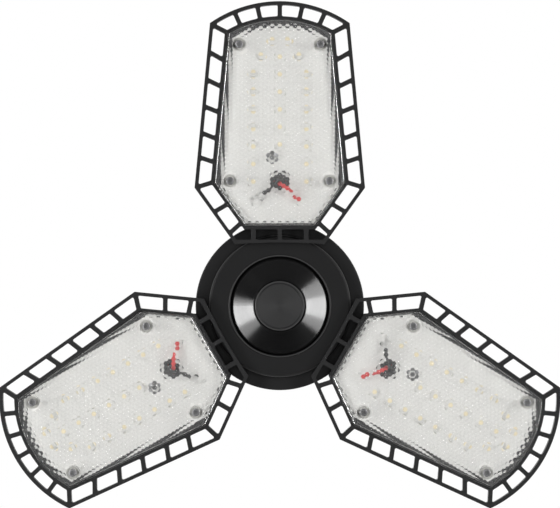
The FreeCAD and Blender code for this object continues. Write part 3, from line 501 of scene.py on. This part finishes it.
@dataclass(frozen=True)
class Clear(Finish):
    """Clear plastic that lets the lamps' light through to what it covers."""

    index: float = 1.5
    milk: float = 0.002
    palest: Colour = (0.97, 0.97, 0.97)
    milk_colour: Colour = (0.9, 0.9, 0.9)
    shadow: Colour = (0.93, 0.93, 0.93)
    haze_size: float = 9 * MM
    haze_gloss: float = 0.02
    wave_size: float = 12 * MM
    wave_depth: float = 0.02 * MM

    def lay(self, graph: Graph) -> None:
        """Fills the tree.

        Args:
            graph: the tree to fill.
        """
        point = graph.place()
        haze = graph.noise(point, self.haze_size, 3.0)
        plastic = graph.surface(
            Base_Color=graph.tint(haze, self.colour, self.palest),
            Roughness=self.roughness + self.haze_gloss * haze,
            Normal=graph.relief(graph.noise(point, self.wave_size), self.wave_depth),
            Transmission_Weight=1.0, IOR=self.index)
        milky = graph.node("ShaderNodeBsdfDiffuse", {}, {"Color": (*self.milk_colour, 1.0)})
        plastic = graph.node("ShaderNodeMixShader", {}, {0: self.milk, 1: plastic, 2: milky})
        shadow = graph.node("ShaderNodeLightPath", output="Is Shadow Ray")
        gap = graph.node("ShaderNodeBsdfTransparent", {}, {"Color": (*self.shadow, 1.0)})
        graph.close(graph.node("ShaderNodeMixShader", {}, {0: shadow, 1: plastic, 2: gap}))


@dataclass(frozen=True)
class SolderMask(Finish):
    """White mask over a light board, with the faint edges of the copper under it."""

    turn: float = 0.0
    pitch: float = 10 * MM
    gap: float = 0.35 * MM
    shade: Colour = (0.66, 0.66, 0.63)
    first_gap: float = 5.5 * MM
    track: float = 7.6 * MM
    track_pitch: float = 40 * MM
    half_width: float = 21 * MM
    near: float = 64 * MM
    far: float = 153 * MM
    copper_shade: float = 0.3
    cloud_shade: float = 0.25
    speck_size: float = 0.8 * MM
    cloud: float = 14 * MM
    speck_gloss: float = 0.1
    depth: float = 0.03 * MM
    coat: float = 0.3

    def lay(self, graph: Graph) -> None:
        """Fills the tree.

        Args:
            graph: the tree to fill.
        """
        point = graph.place(self.turn)
        v, u, _ = graph.axes(point)
        across = (u - self.first_gap).wave(self.pitch) < self.gap
        along = (abs(v) - self.track).wave(self.track_pitch) < self.gap
        inside = abs(v) < self.half_width
        copper = (across + along) * inside * ((u > self.near) * (u < self.far)) > 0.5
        speck = graph.noise(point, self.speck_size)
        cloud = graph.noise(point, self.cloud)
        shaded = self.copper_shade * copper + self.cloud_shade * cloud
        graph.close(graph.surface(
            Base_Color=graph.tint(shaded, self.colour, self.shade),
            Roughness=self.roughness + self.speck_gloss * (speck - 0.5),
            Normal=graph.relief(1 - copper + 0.1 * speck, self.depth),
            Coat_Weight=self.coat))


@dataclass(frozen=True)
class Sleeved(Finish):
    """Glossy wire insulation or a shrunk sleeve, faintly uneven."""

    ripple: float = 1.5 * MM
    darker: float = 0.7
    gloss: float = 0.1
    depth: float = 0.03 * MM
    coat: float = 0.2

    def lay(self, graph: Graph) -> None:
        """Fills the tree.

        Args:
            graph: the tree to fill.
        """
        uneven = graph.noise(graph.place(), self.ripple)
        darker = tuple(channel * self.darker for channel in self.colour)
        graph.close(graph.surface(
            Base_Color=graph.tint(uneven, darker, self.colour),
            Roughness=self.roughness + self.gloss * (uneven - 0.5),
            Normal=graph.relief(uneven, self.depth),
            Coat_Weight=self.coat))


class Finishes:
    """Every finish on the lamp."""

    HUB = Grained("hub_black", (0.007, 0.007, 0.0073), 0.46, specular=0.3)
    # The cover's rims at 28.45 and 39.8 mm carry a painted highlight.
    COVER = Grained("cover_black", (0.007, 0.007, 0.0073), 0.40, grain=0.25 * MM, depth=0.006 * MM,
                    specular=0.3, rims=(28.45 * MM, 39.8 * MM))
    HOUSING = Grained("housing_black", (0.013, 0.013, 0.0135), 0.52, grain=0.5 * MM, depth=0.03 * MM)
    CASTING = Grained("powder_coat", (0.010, 0.010, 0.0104), 0.50, grain=0.6 * MM, depth=0.03 * MM,
                      specular=0.4)
    # The cap's rim at 13.75 mm carries a painted highlight.
    CAP = Turned("cap_black", (0.0075, 0.0075, 0.0078), 0.38, brushing=0.4, index=1.7, rims=(13.75 * MM,))
    # The dish's rim beyond 26.1 mm is dulled: partly its own finish, partly painted shade in the groove.
    DISH = Turned("dish_black", (0.0015, 0.0015, 0.0017), 0.24, index=1.88)
    RUBBER = Grained("rubber_black", (0.010, 0.010, 0.010), 0.75, grain=0.3 * MM)
    SILICONE = Grained("gasket_grey", (0.22, 0.22, 0.22), 0.60, grain=0.3 * MM, paler=1.2)
    NYLON = Grained("nylon", (0.62, 0.60, 0.54), 0.45, paler=1.1)
    CERAMIC = Grained("insulator_black", (0.010, 0.010, 0.012), 0.16, grain=2 * MM, depth=0.02 * MM, coat=0.6)
    BOARD = Grained("circuit_green", (0.02, 0.10, 0.04), 0.35, paler=1.3, coat=0.4)
    WOUND = Grained("component_brown", (0.10, 0.075, 0.04), 0.45, paler=1.6)
    NICKEL = Plated("nickel", (0.72, 0.70, 0.66), 0.24)
    CONTACT = Plated("contact_tin", (0.78, 0.74, 0.66), 0.30)
    LENS_SCREW = Plated("lens_screws", (0.42, 0.42, 0.43), 0.55, scratch=(1.0, 1.0, 1.0),
                        dull=(0.20, 0.20, 0.20))
    BOARD_SCREW = Plated("board_screws", (0.38, 0.38, 0.39), 0.36, scratch=(1.0, 1.0, 1.0),
                         dull=(0.12, 0.12, 0.12))
    ZINC = Plated("zinc_screws", (0.60, 0.60, 0.61), 0.34, scratch=(1.0, 1.0, 1.0), dull=(0.30, 0.30, 0.31))
    BLACK_STEEL = Plated("black_screws", (0.07, 0.07, 0.075), 0.40, dull=(0.03, 0.03, 0.03))
    SOLDER = Plated("solder", (0.60, 0.60, 0.61), 0.42, scratch=(1.0, 1.0, 1.0), dull=(0.42, 0.42, 0.43))
    LENS = Clear("lens_clear", (0.93, 0.93, 0.93), 0.03)
    PRISM = Clear("prism_clear", (0.95, 0.95, 0.95), 0.07)
    PACKAGE = Grained("led_white", (0.80, 0.79, 0.75), 0.40, paler=1.05, depth=0.004 * MM)
    PHOSPHOR = Grained("led_phosphor", (0.78, 0.69, 0.46), 0.40, grain=0.1 * MM, paler=1.15, coat=0.2)
    RED_WIRE = Sleeved("red_wire", (0.13, 0.007, 0.009), 0.35)
    BLACK_WIRE = Sleeved("black_wire", (0.012, 0.012, 0.012), 0.35)
    CAN = Sleeved("capacitor_sleeve", (0.02, 0.03, 0.06), 0.30)


# ---------------------------------------------------------------- building helpers

class Shop:
    """Dresses nodes and turns meshes into pieces of the lamp."""

    def __init__(self, frame: Dict[str, Any]) -> None:
        """Keeps the loaded frame.
        """
        self.nodes = frame["nodes"]

    def dress(self, node: str, finish: Finish) -> None:
        """Gives a node its finish.

        Args:
            node: the node's name.
            finish: its finish.
        """
        piece = self.nodes[node]
        if not piece.material_slots:
            piece.data.materials.append(None)
        for slot in piece.material_slots:
            slot.material = finish.material()

    def piece(self, name: str, mesh: bmesh.types.BMesh, body: str, slot: str, finishes: Sequence[Finish],
              crease: float = 40.0) -> bpy.types.Object:
        """Makes a piece that rides on a body.

        Args:
            name: the piece's name.
            mesh: its shape, which is freed.
            body: the body that carries it.
            slot: its material slot in the record; not used.
            finishes: one finish for each material index.
            crease: angle in degrees past which an edge stays sharp.

        Returns:
            The new object.
        """
        data = bpy.data.meshes.new(name)
        mesh.to_mesh(data)
        mesh.free()
        for finish in finishes:
            data.materials.append(finish.material())
        data.shade_smooth()
        data.set_sharp_from_angle(angle=math.radians(crease))
        made = bpy.data.objects.new(name, data)
        bpy.context.scene.collection.objects.link(made)
        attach(made, body)
        LOG.info("%s: %d faces on %s", name, len(data.polygons), body)
        return made


# ---------------------------------------------------------------- sub-assemblies

@dataclass
class ScrewBase:
    """The screw base: contact, insulator and threaded shell."""

    shop: Shop

    def dress(self) -> None:
        """Lays the finishes."""
        self.shop.dress("centre_contact", Finishes.CONTACT)
        self.shop.dress("base_insulator", Finishes.CERAMIC)
        self.shop.dress("screw_shell", Finishes.NICKEL)
        LOG.info("screw base dressed")


@dataclass
class Hub:
    """The hub, its face, its housing and the hinge hardware that it carries."""

    shop: Shop

    def dress(self) -> None:
        """Lays the finishes."""
        finishes = {
            "driver_housing": Finishes.HOUSING, "housing_screws": Finishes.ZINC, "hub_body": Finishes.HUB,
            "front_cover": Finishes.COVER, "cover_screws": Finishes.ZINC, "dish_ring": Finishes.DISH,
            "centre_cap": Finishes.CAP, "pivot_screws": Finishes.BLACK_STEEL, "pivot_tubes": Finishes.ZINC,
            "hinge_washers": Finishes.NYLON, "hub_red_leads": Finishes.RED_WIRE,
            "hub_black_leads": Finishes.BLACK_WIRE}
        for node, finish in finishes.items():
            self.shop.dress(node, finish)
        LOG.info("hub dressed")


@dataclass
class Driver:
    """The driver inside the housing, seen through its vents."""

    shop: Shop

    def dress(self) -> None:
        """Lays the finishes."""
        finishes = {
            "driver_board": Finishes.BOARD, "driver_board_screws": Finishes.ZINC,
            "driver_parts": Finishes.WOUND, "transformer": Finishes.WOUND,
            "electrolytic_capacitor": Finishes.CAN, "supply_leads": Finishes.BLACK_WIRE}
        for node, finish in finishes.items():
            self.shop.dress(node, finish)
        LOG.info("driver dressed")


@dataclass
class LightPanel:
    """One folding panel: casting, lens with its prisms, light board, chips and leads."""

    shop: Shop
    panel: Panel
    cell_pitch: float = 2.45 * MM
    dome_radius: float = 1.9 * MM
    dome_base: float = 0.35 * MM
    air_gap: float = 0.03 * MM
    clear_edge: float = 0.3 * MM
    post_radius: float = 3.65 * MM
    package_bevel: float = 0.12 * MM
    phosphor_inset: float = 0.1 * MM
    phosphor_rim: float = 0.05 * MM
    phosphor_sink: float = 0.1 * MM
    package_face: float = 4 * MM * MM
    solder_radius: float = 1.2 * MM
    solder_shape: Tuple[float, float, float] = (1.25, 1.1, 1.45)
    solder_segments: Tuple[int, int] = (20, 12)
    pad_height: float = 1.7 * MM
    pad_spread: float = 0.1 * MM
    bite: float = 0.02 * MM
    level_step: float = 0.002 * MM
    flat_share: float = 0.8
    lens_lip: float = 1.0 * MM
    post_clearance: float = 0.9
    prism_crease: float = 32.0
    package_crease: float = 50.0

    def dress(self) -> None:
        """Lays the finishes of the panel's own nodes."""
        mask = SolderMask("solder_mask_" + self.panel.name.lower(), (0.77, 0.765, 0.735), 0.38,
                          turn=self.panel.value)
        finishes = {
            "casting": Finishes.CASTING, "led_board": mask, "lens_gasket": Finishes.SILICONE,
            "lens": Finishes.LENS, "lens_screws": Finishes.LENS_SCREW, "board_screw": Finishes.BOARD_SCREW,
            "lead_grommet": Finishes.RUBBER, "red_lead": Finishes.RED_WIRE, "black_lead": Finishes.BLACK_WIRE,
            "duct_cover": Finishes.HUB, "duct_cover_screws": Finishes.BLACK_STEEL}
        for part, finish in finishes.items():
            self.shop.dress(self.panel.node(part), finish)
        LOG.info("%s dressed", self.panel.body)

    def ceiling(self) -> Tuple[float, List[Vector]]:
        """Finds the flat back of the lens's face.

        Returns:
            Its height, and its outline in the panel's own frame as corners in order.
        """
        unturn = self.panel.turn.inverted()
        points = [unturn @ vertex.co for vertex in self.shop.nodes[self.panel.node("lens")].data.vertices]
        whole = max(p.y for p in points) - min(p.y for p in points)
        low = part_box(self.panel.node("lens"))[0].z
        for level in sorted({round(point.z, 6) for point in points if point.z > low + self.lens_lip}):
            flat = [p for p in points if abs(p.z - level) < self.level_step]
            if max(p.y for p in flat) - min(p.y for p in flat) > self.flat_share * whole:
                break
        mesh = bmesh.new()
        for point in flat:
            mesh.verts.new((point.x, point.y, 0.0))
        peak = mesh.verts.new((0.0, 100 * MM, 50 * MM))
        bmesh.ops.convex_hull(mesh, input=mesh.verts)
        rim = [vertex.co.copy() for vertex in mesh.verts if vertex.link_faces and vertex != peak]
        mesh.free()
        middle = sum(rim, Vector()) / len(rim)
        rim.sort(key=lambda point: math.atan2(point.y - middle.y, point.x - middle.x))
        return level, rim

    def covers(self, centre: Vector, rim: Sequence[Vector], posts: Sequence[Vector]) -> bool:
        """Says whether a prism lies at least partly over the flat and clear of the screw posts.

        Args:
            centre: the prism's centre in the panel's own frame.
            rim: the flat's outline, anticlockwise.
            posts: the screw posts' centres.

        Returns:
            True where the prism is built.
        """
        reach = self.cell_pitch / math.sqrt(3.0)
        for start, end in zip(rim, list(rim[1:]) + [rim[0]]):
            way = end - start
            if way.length > SHORTEST and way.cross(centre - start).z / way.length < -reach:
                return False
        clear = self.post_radius + self.post_clearance * reach
        return all((centre.xy - post.xy).length > clear for post in posts)

    def trim(self, mesh: bmesh.types.BMesh, rim: Sequence[Vector]) -> None:
        """Cuts the prisms off a little inside the flat's outline.

        Args:
            mesh: the prisms.
            rim: the flat's outline, anticlockwise.
        """
        for start, end in zip(rim, list(rim[1:]) + [rim[0]]):
            way = end - start
            if way.length > SHORTEST:
                outward = Vector((way.y, -way.x, 0.0)).normalized()
                whole = mesh.verts[:] + mesh.edges[:] + mesh.faces[:]
                bmesh.ops.bisect_plane(mesh, geom=whole, dist=WELD, plane_no=outward,
                                       plane_co=start - self.clear_edge * outward, clear_outer=True)

    def prism_cell(self) -> bpy.types.Mesh:
        """Makes one domed hexagon, bulging up from its corners.

        Returns:
            The cell's mesh, centred on the origin.
        """
        reach = self.cell_pitch / math.sqrt(3.0)
        mesh = bmesh.new()
        bmesh.ops.create_circle(mesh, cap_ends=True, cap_tris=True, segments=6, radius=reach)
        bmesh.ops.rotate(mesh, verts=mesh.verts, matrix=Matrix.Rotation(math.radians(30), 3, "Z"))
        bmesh.ops.subdivide_edges(mesh, edges=mesh.edges, cuts=1, use_grid_fill=True)
        angle = math.atan2(*reversed(max((v.co.xy for v in mesh.verts), key=lambda p: p.length)))
        bmesh.ops.rotate(mesh, verts=mesh.verts, matrix=Matrix.Rotation(-angle, 3, "Z"))
        brow = math.sqrt(self.dome_radius ** 2 - reach ** 2)
        for vertex in mesh.verts:
            rise = math.sqrt(self.dome_radius ** 2 - vertex.co.xy.length_squared) - brow
            vertex.co.z = self.dome_base + rise
        bmesh.ops.recalc_face_normals(mesh, faces=mesh.faces)
        cell = bpy.data.meshes.new("prism_cell")
        mesh.to_mesh(cell)
        mesh.free()
        return cell

    def build_prisms(self) -> None:
        """Builds the sheet of hexagonal prisms on the back of the lens's face."""
        flat, rim = self.ceiling()
        posts = [(low + high) / 2 for low, high in self.solids("lens_screws")]
        cell = self.prism_cell()
        column = self.cell_pitch * math.sqrt(3.0) / 2
        mesh = bmesh.new()
        low_u, high_u = min(p.y for p in rim), max(p.y for p in rim)
        half = int(max(p.x for p in rim) / column) + 1
        rows = int((high_u - low_u) / self.cell_pitch) + 2
        at = Vector()
        for i in range(-half, half + 1):
            for j in range(rows):
                centre = Vector((i * column, low_u + (j + 0.5 * (i % 2)) * self.cell_pitch, 0.0))
                if self.covers(centre, rim, posts):
                    cell.transform(Matrix.Translation(centre - at))
                    at = centre
                    mesh.from_mesh(cell)
        bpy.data.meshes.remove(cell)
        bmesh.ops.remove_doubles(mesh, verts=mesh.verts, dist=SHORTEST)
        self.trim(mesh, rim)
        border = [edge for edge in mesh.edges if len(edge.link_faces) == 1]
        grown = bmesh.ops.extrude_edge_only(mesh, edges=border)["geom"]
        top = [piece for piece in grown if isinstance(piece, bmesh.types.BMVert)]
        for vertex in top:
            vertex.co.z = 0.0
        loops = [edge for edge in mesh.edges if len(edge.link_faces) == 1]
        bmesh.ops.triangle_fill(mesh, edges=loops, use_beauty=True, normal=(0, 0, 1))
        bmesh.ops.recalc_face_normals(mesh, faces=mesh.faces)
        open_edges = sum(len(edge.link_faces) != 2 for edge in mesh.edges)
        LOG.info("%s prisms: %d open edges", self.panel.body, open_edges)
        place = self.panel.turn @ Matrix.Translation((0, 0, flat + self.air_gap))
        bmesh.ops.transform(mesh, matrix=place, verts=mesh.verts)
        self.shop.piece(self.panel.node("prisms"), mesh, self.panel.body, "clear", [Finishes.PRISM],
                        self.prism_crease)

    def build_chips(self) -> None:
        """Builds each LED package with its phosphor well, in the places of the plain chips."""
        mesh = bmesh.new()
        for low, high in self.solids("led_chips"):
            size, middle = high - low, (high + low) / 2
            box = bmesh.ops.create_cube(mesh, size=1.0)["verts"]
            bmesh.ops.scale(mesh, vec=size, verts=box)
            bmesh.ops.translate(mesh, vec=middle, verts=box)
            edges = list({edge for vertex in box for edge in vertex.link_edges})
            bmesh.ops.bevel(mesh, geom=edges, offset=self.package_bevel, affect="EDGES", segments=2,
                            profile=0.5, material=-1)
        mesh.faces.ensure_lookup_table()
        tops = [face for face in mesh.faces
                if face.normal.z < -0.99 and face.calc_area() > self.package_face]
        bmesh.ops.inset_individual(mesh, faces=tops, thickness=self.phosphor_inset, depth=0.0)
        bmesh.ops.inset_individual(mesh, faces=tops, thickness=self.phosphor_rim, depth=-self.phosphor_sink)
        for face in tops:
            face.material_index = 1
        bmesh.ops.transform(mesh, matrix=self.panel.turn, verts=mesh.verts)
        made = self.shop.piece(self.panel.node("led_packages"), mesh, self.panel.body, "phosphor",
                               [Finishes.PACKAGE, Finishes.PHOSPHOR], self.package_crease)
        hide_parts(self.panel.node("led_chips"))

    def solids(self, part: str) -> List[Tuple[Vector, Vector]]:
        """Finds the separate solids of one of the panel's nodes.

        Args:
            part: the node's name without the panel's.

        Returns:
            The lowest and highest corner of each solid in the panel's own frame.
        """
        mesh = bmesh.new()
        mesh.from_mesh(self.shop.nodes[self.panel.node(part)].data)
        bmesh.ops.transform(mesh, matrix=self.panel.turn.inverted(), verts=mesh.verts)
        bmesh.ops.remove_doubles(mesh, verts=mesh.verts, dist=WELD)
        left, found = set(mesh.verts), []
        while left:
            stack, corners = [left.pop()], []
            while stack:
                vertex = stack.pop()
                corners.append(vertex.co.copy())
                for edge in vertex.link_edges:
                    other = edge.other_vert(vertex)
                    if other in left:
                        left.discard(other)
                        stack.append(other)
            found.append((Vector([min(c[axis] for c in corners) for axis in range(3)]),
                          Vector([max(c[axis] for c in corners) for axis in range(3)])))
        mesh.free()
        return sorted(found, key=lambda ends: tuple(ends[0]))

    def build_solder(self) -> None:
        """Builds the two soft mounds of solder over the ends of the leads."""
        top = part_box(self.panel.node("led_chips"))[1].z
        mesh = bmesh.new()
        for low, high in self.solids("led_board"):
            if abs(high.z - low.z - self.pad_height) > self.pad_spread:
                continue
            middle = (low + high) / 2
            round_by, down_by = self.solder_segments
            ball = bmesh.ops.create_uvsphere(mesh, u_segments=round_by, v_segments=down_by,
                                             radius=self.solder_radius)
            verts = ball["verts"]
            bmesh.ops.scale(mesh, vec=self.solder_shape, verts=verts)
            bmesh.ops.translate(mesh, vec=(middle.x, middle.y, top), verts=verts)
        cut = mesh.verts[:] + mesh.edges[:] + mesh.faces[:]
        bmesh.ops.bisect_plane(mesh, geom=cut, plane_co=(0, 0, top - self.bite), plane_no=(0, 0, 1),
                               clear_outer=True)
        rims = [edge for edge in mesh.edges if len(edge.link_faces) == 1]
        bmesh.ops.holes_fill(mesh, edges=rims)
        bmesh.ops.recalc_face_normals(mesh, faces=mesh.faces)
        bmesh.ops.transform(mesh, matrix=self.panel.turn, verts=mesh.verts)
        self.shop.piece(self.panel.node("solder"), mesh, self.panel.body, "steel", [Finishes.SOLDER])


# ---------------------------------------------------------------- the shot

@dataclass
class Studio:
    """Camera, pale floor, lamps and surroundings."""

    distance: float = 1.2
    picture_width: float = 560 * 0.564 * MM
    aim: Tuple[float, float] = (-0.11 * MM, 29.35 * MM)
    sensor: float = 36.0
    floor_drop: float = 1.42
    floor_size: float = 2.6
    sides: Tuple[Tuple[str, float, float, float], ...] = (
        ("left", 0.0, 0.50, 8.5), ("left_wide", -2.0, 1.35, 7.3),
        ("right", 170.0, 0.50, 10.5), ("right_wide", 165.0, 1.0, 5.4))
    side_height: float = 0.24
    side_angle: float = 60.0
    side_reach: float = 1.1
    back_at: Tuple[float, float, float] = (0.3, -0.4, 1.1)
    back_size: float = 1.2
    back_power: float = 8.0
    floor_colour: Colour = (0.82, 0.82, 0.82)
    horizon: float = -0.12
    mirrored_below: float = 0.03
    mirrored_above: float = 0.77
    through_below: float = 0.2
    through_above: float = 0.4
    plain: float = 0.25

    def camera(self) -> None:
        """Sets the camera under the lamp, looking straight up."""
        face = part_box("hub_body")[0].z
        data = bpy.data.cameras.new("view")
        data.sensor_width = self.sensor
        data.lens = self.sensor * self.distance / self.picture_width
        camera = bpy.data.objects.new("view", data)
        camera.location = (self.aim[0], self.aim[1], face - self.distance)
        camera.rotation_euler = (0.0, math.pi, 0.0)
        bpy.context.scene.collection.objects.link(camera)
        bpy.context.scene.camera = camera

    def floor(self) -> None:
        """Lays the pale floor, below the camera, which sees it as white as the surroundings."""
        mesh = bmesh.new()
        bmesh.ops.create_grid(mesh, x_segments=1, y_segments=1, size=self.floor_size / 2)
        bmesh.ops.translate(mesh, vec=(0, 0, -self.floor_drop), verts=mesh.verts)
        data = bpy.data.meshes.new("floor")
        mesh.to_mesh(data)
        mesh.free()
        made = bpy.data.materials.new("floor")
        graph = Graph(made)
        matte = graph.surface(Base_Color=(*self.floor_colour, 1.0), Roughness=0.9)
        white = graph.node("ShaderNodeEmission", {}, {"Color": (1.0, 1.0, 1.0, 1.0), "Strength": 1.0})
        seen = graph.node("ShaderNodeLightPath", output="Is Camera Ray")
        graph.close(graph.node("ShaderNodeMixShader", {}, {0: seen, 1: matte, 2: white}))
        data.materials.append(made)
        floor = bpy.data.objects.new("floor", data)
        bpy.context.scene.collection.objects.link(floor)

    def lamp(self, name: str, at: Vector, target: Vector, size: Tuple[float, float], power: float) -> None:
        """Adds one soft lamp that the camera doesn't see.

        Args:
            name: the lamp's name.
            at: its place.
            target: the point that it faces.
            size: its width and height in metres.
            power: its power in watts.
        """
        data = bpy.data.lights.new(name, "AREA")
        data.shape = "RECTANGLE"
        data.size, data.size_y = size
        data.energy = power
        lamp = bpy.data.objects.new(name, data)
        lamp.location = at
        lamp.rotation_euler = (target - at).to_track_quat("-Z", "Y").to_euler()
        lamp.visible_camera = False
        bpy.context.scene.collection.objects.link(lamp)

    def lamps(self) -> None:
        """Sets two lamps at each side below, which draw the dish's wedges, and one above."""
        target = Vector((0, 0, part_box("dish_ring")[0].z))
        lean = math.radians(self.side_angle)
        for name, azimuth, width, radiance in self.sides:
            turn = math.radians(azimuth)
            way = Vector((math.cos(turn) * math.sin(lean), math.sin(turn) * math.sin(lean), -math.cos(lean)))
            power = radiance * math.pi * width * self.side_height
            self.lamp(name, target + way * self.side_reach, target, (width, self.side_height), power)
        self.lamp("above", Vector(self.back_at), Vector(), (self.back_size, self.back_size), self.back_power)

    def surroundings(self) -> None:
        """Makes the world white to the camera, and for other rays brighter above the horizon than below."""
        world = bpy.data.worlds.new("studio")
        bpy.context.scene.world = world
        graph = Graph(world)
        way = graph.node("ShaderNodeTexCoord", output="Generated")
        _, y, z = graph.axes(way)
        above = z > self.horizon
        seen = graph.node("ShaderNodeLightPath", output="Is Camera Ray")
        glossy = graph.node("ShaderNodeLightPath", output="Is Glossy Ray")
        through = graph.node("ShaderNodeLightPath", output="Is Transmission Ray")
        reflected = glossy * (self.mirrored_below * (1 - y) + self.mirrored_above * above)
        passed = through * (1 - seen) * (self.through_below + self.through_above * above)
        rest = (1 - seen) * (1 - glossy) * (1 - through) * self.plain
        strength = seen + passed + reflected + rest
        graph.close(graph.node("ShaderNodeBackground", {}, {"Color": (1, 1, 1, 1), "Strength": strength}),
                    "ShaderNodeOutputWorld")

    def build(self) -> None:
        """Builds the whole shot."""
        bpy.context.scene.view_settings.view_transform = "Standard"
        self.camera()
        self.floor()
        self.lamps()
        self.surroundings()
        LOG.info("studio built")


# ---------------------------------------------------------------- the lamp


def main() -> None:
    """Builds every sub-assembly in order."""
    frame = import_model()
    Studio().build()
    shop = Shop(frame)
    ScrewBase(shop).dress()
    Hub(shop).dress()
    Driver(shop).dress()
    for panel in Panel:
        light = LightPanel(shop, panel)
        light.dress()
        light.build_prisms()
        light.build_chips()
        light.build_solder()


if __name__ == "__main__":
    logging.basicConfig(level=logging.INFO, format="%(message)s")
    main()
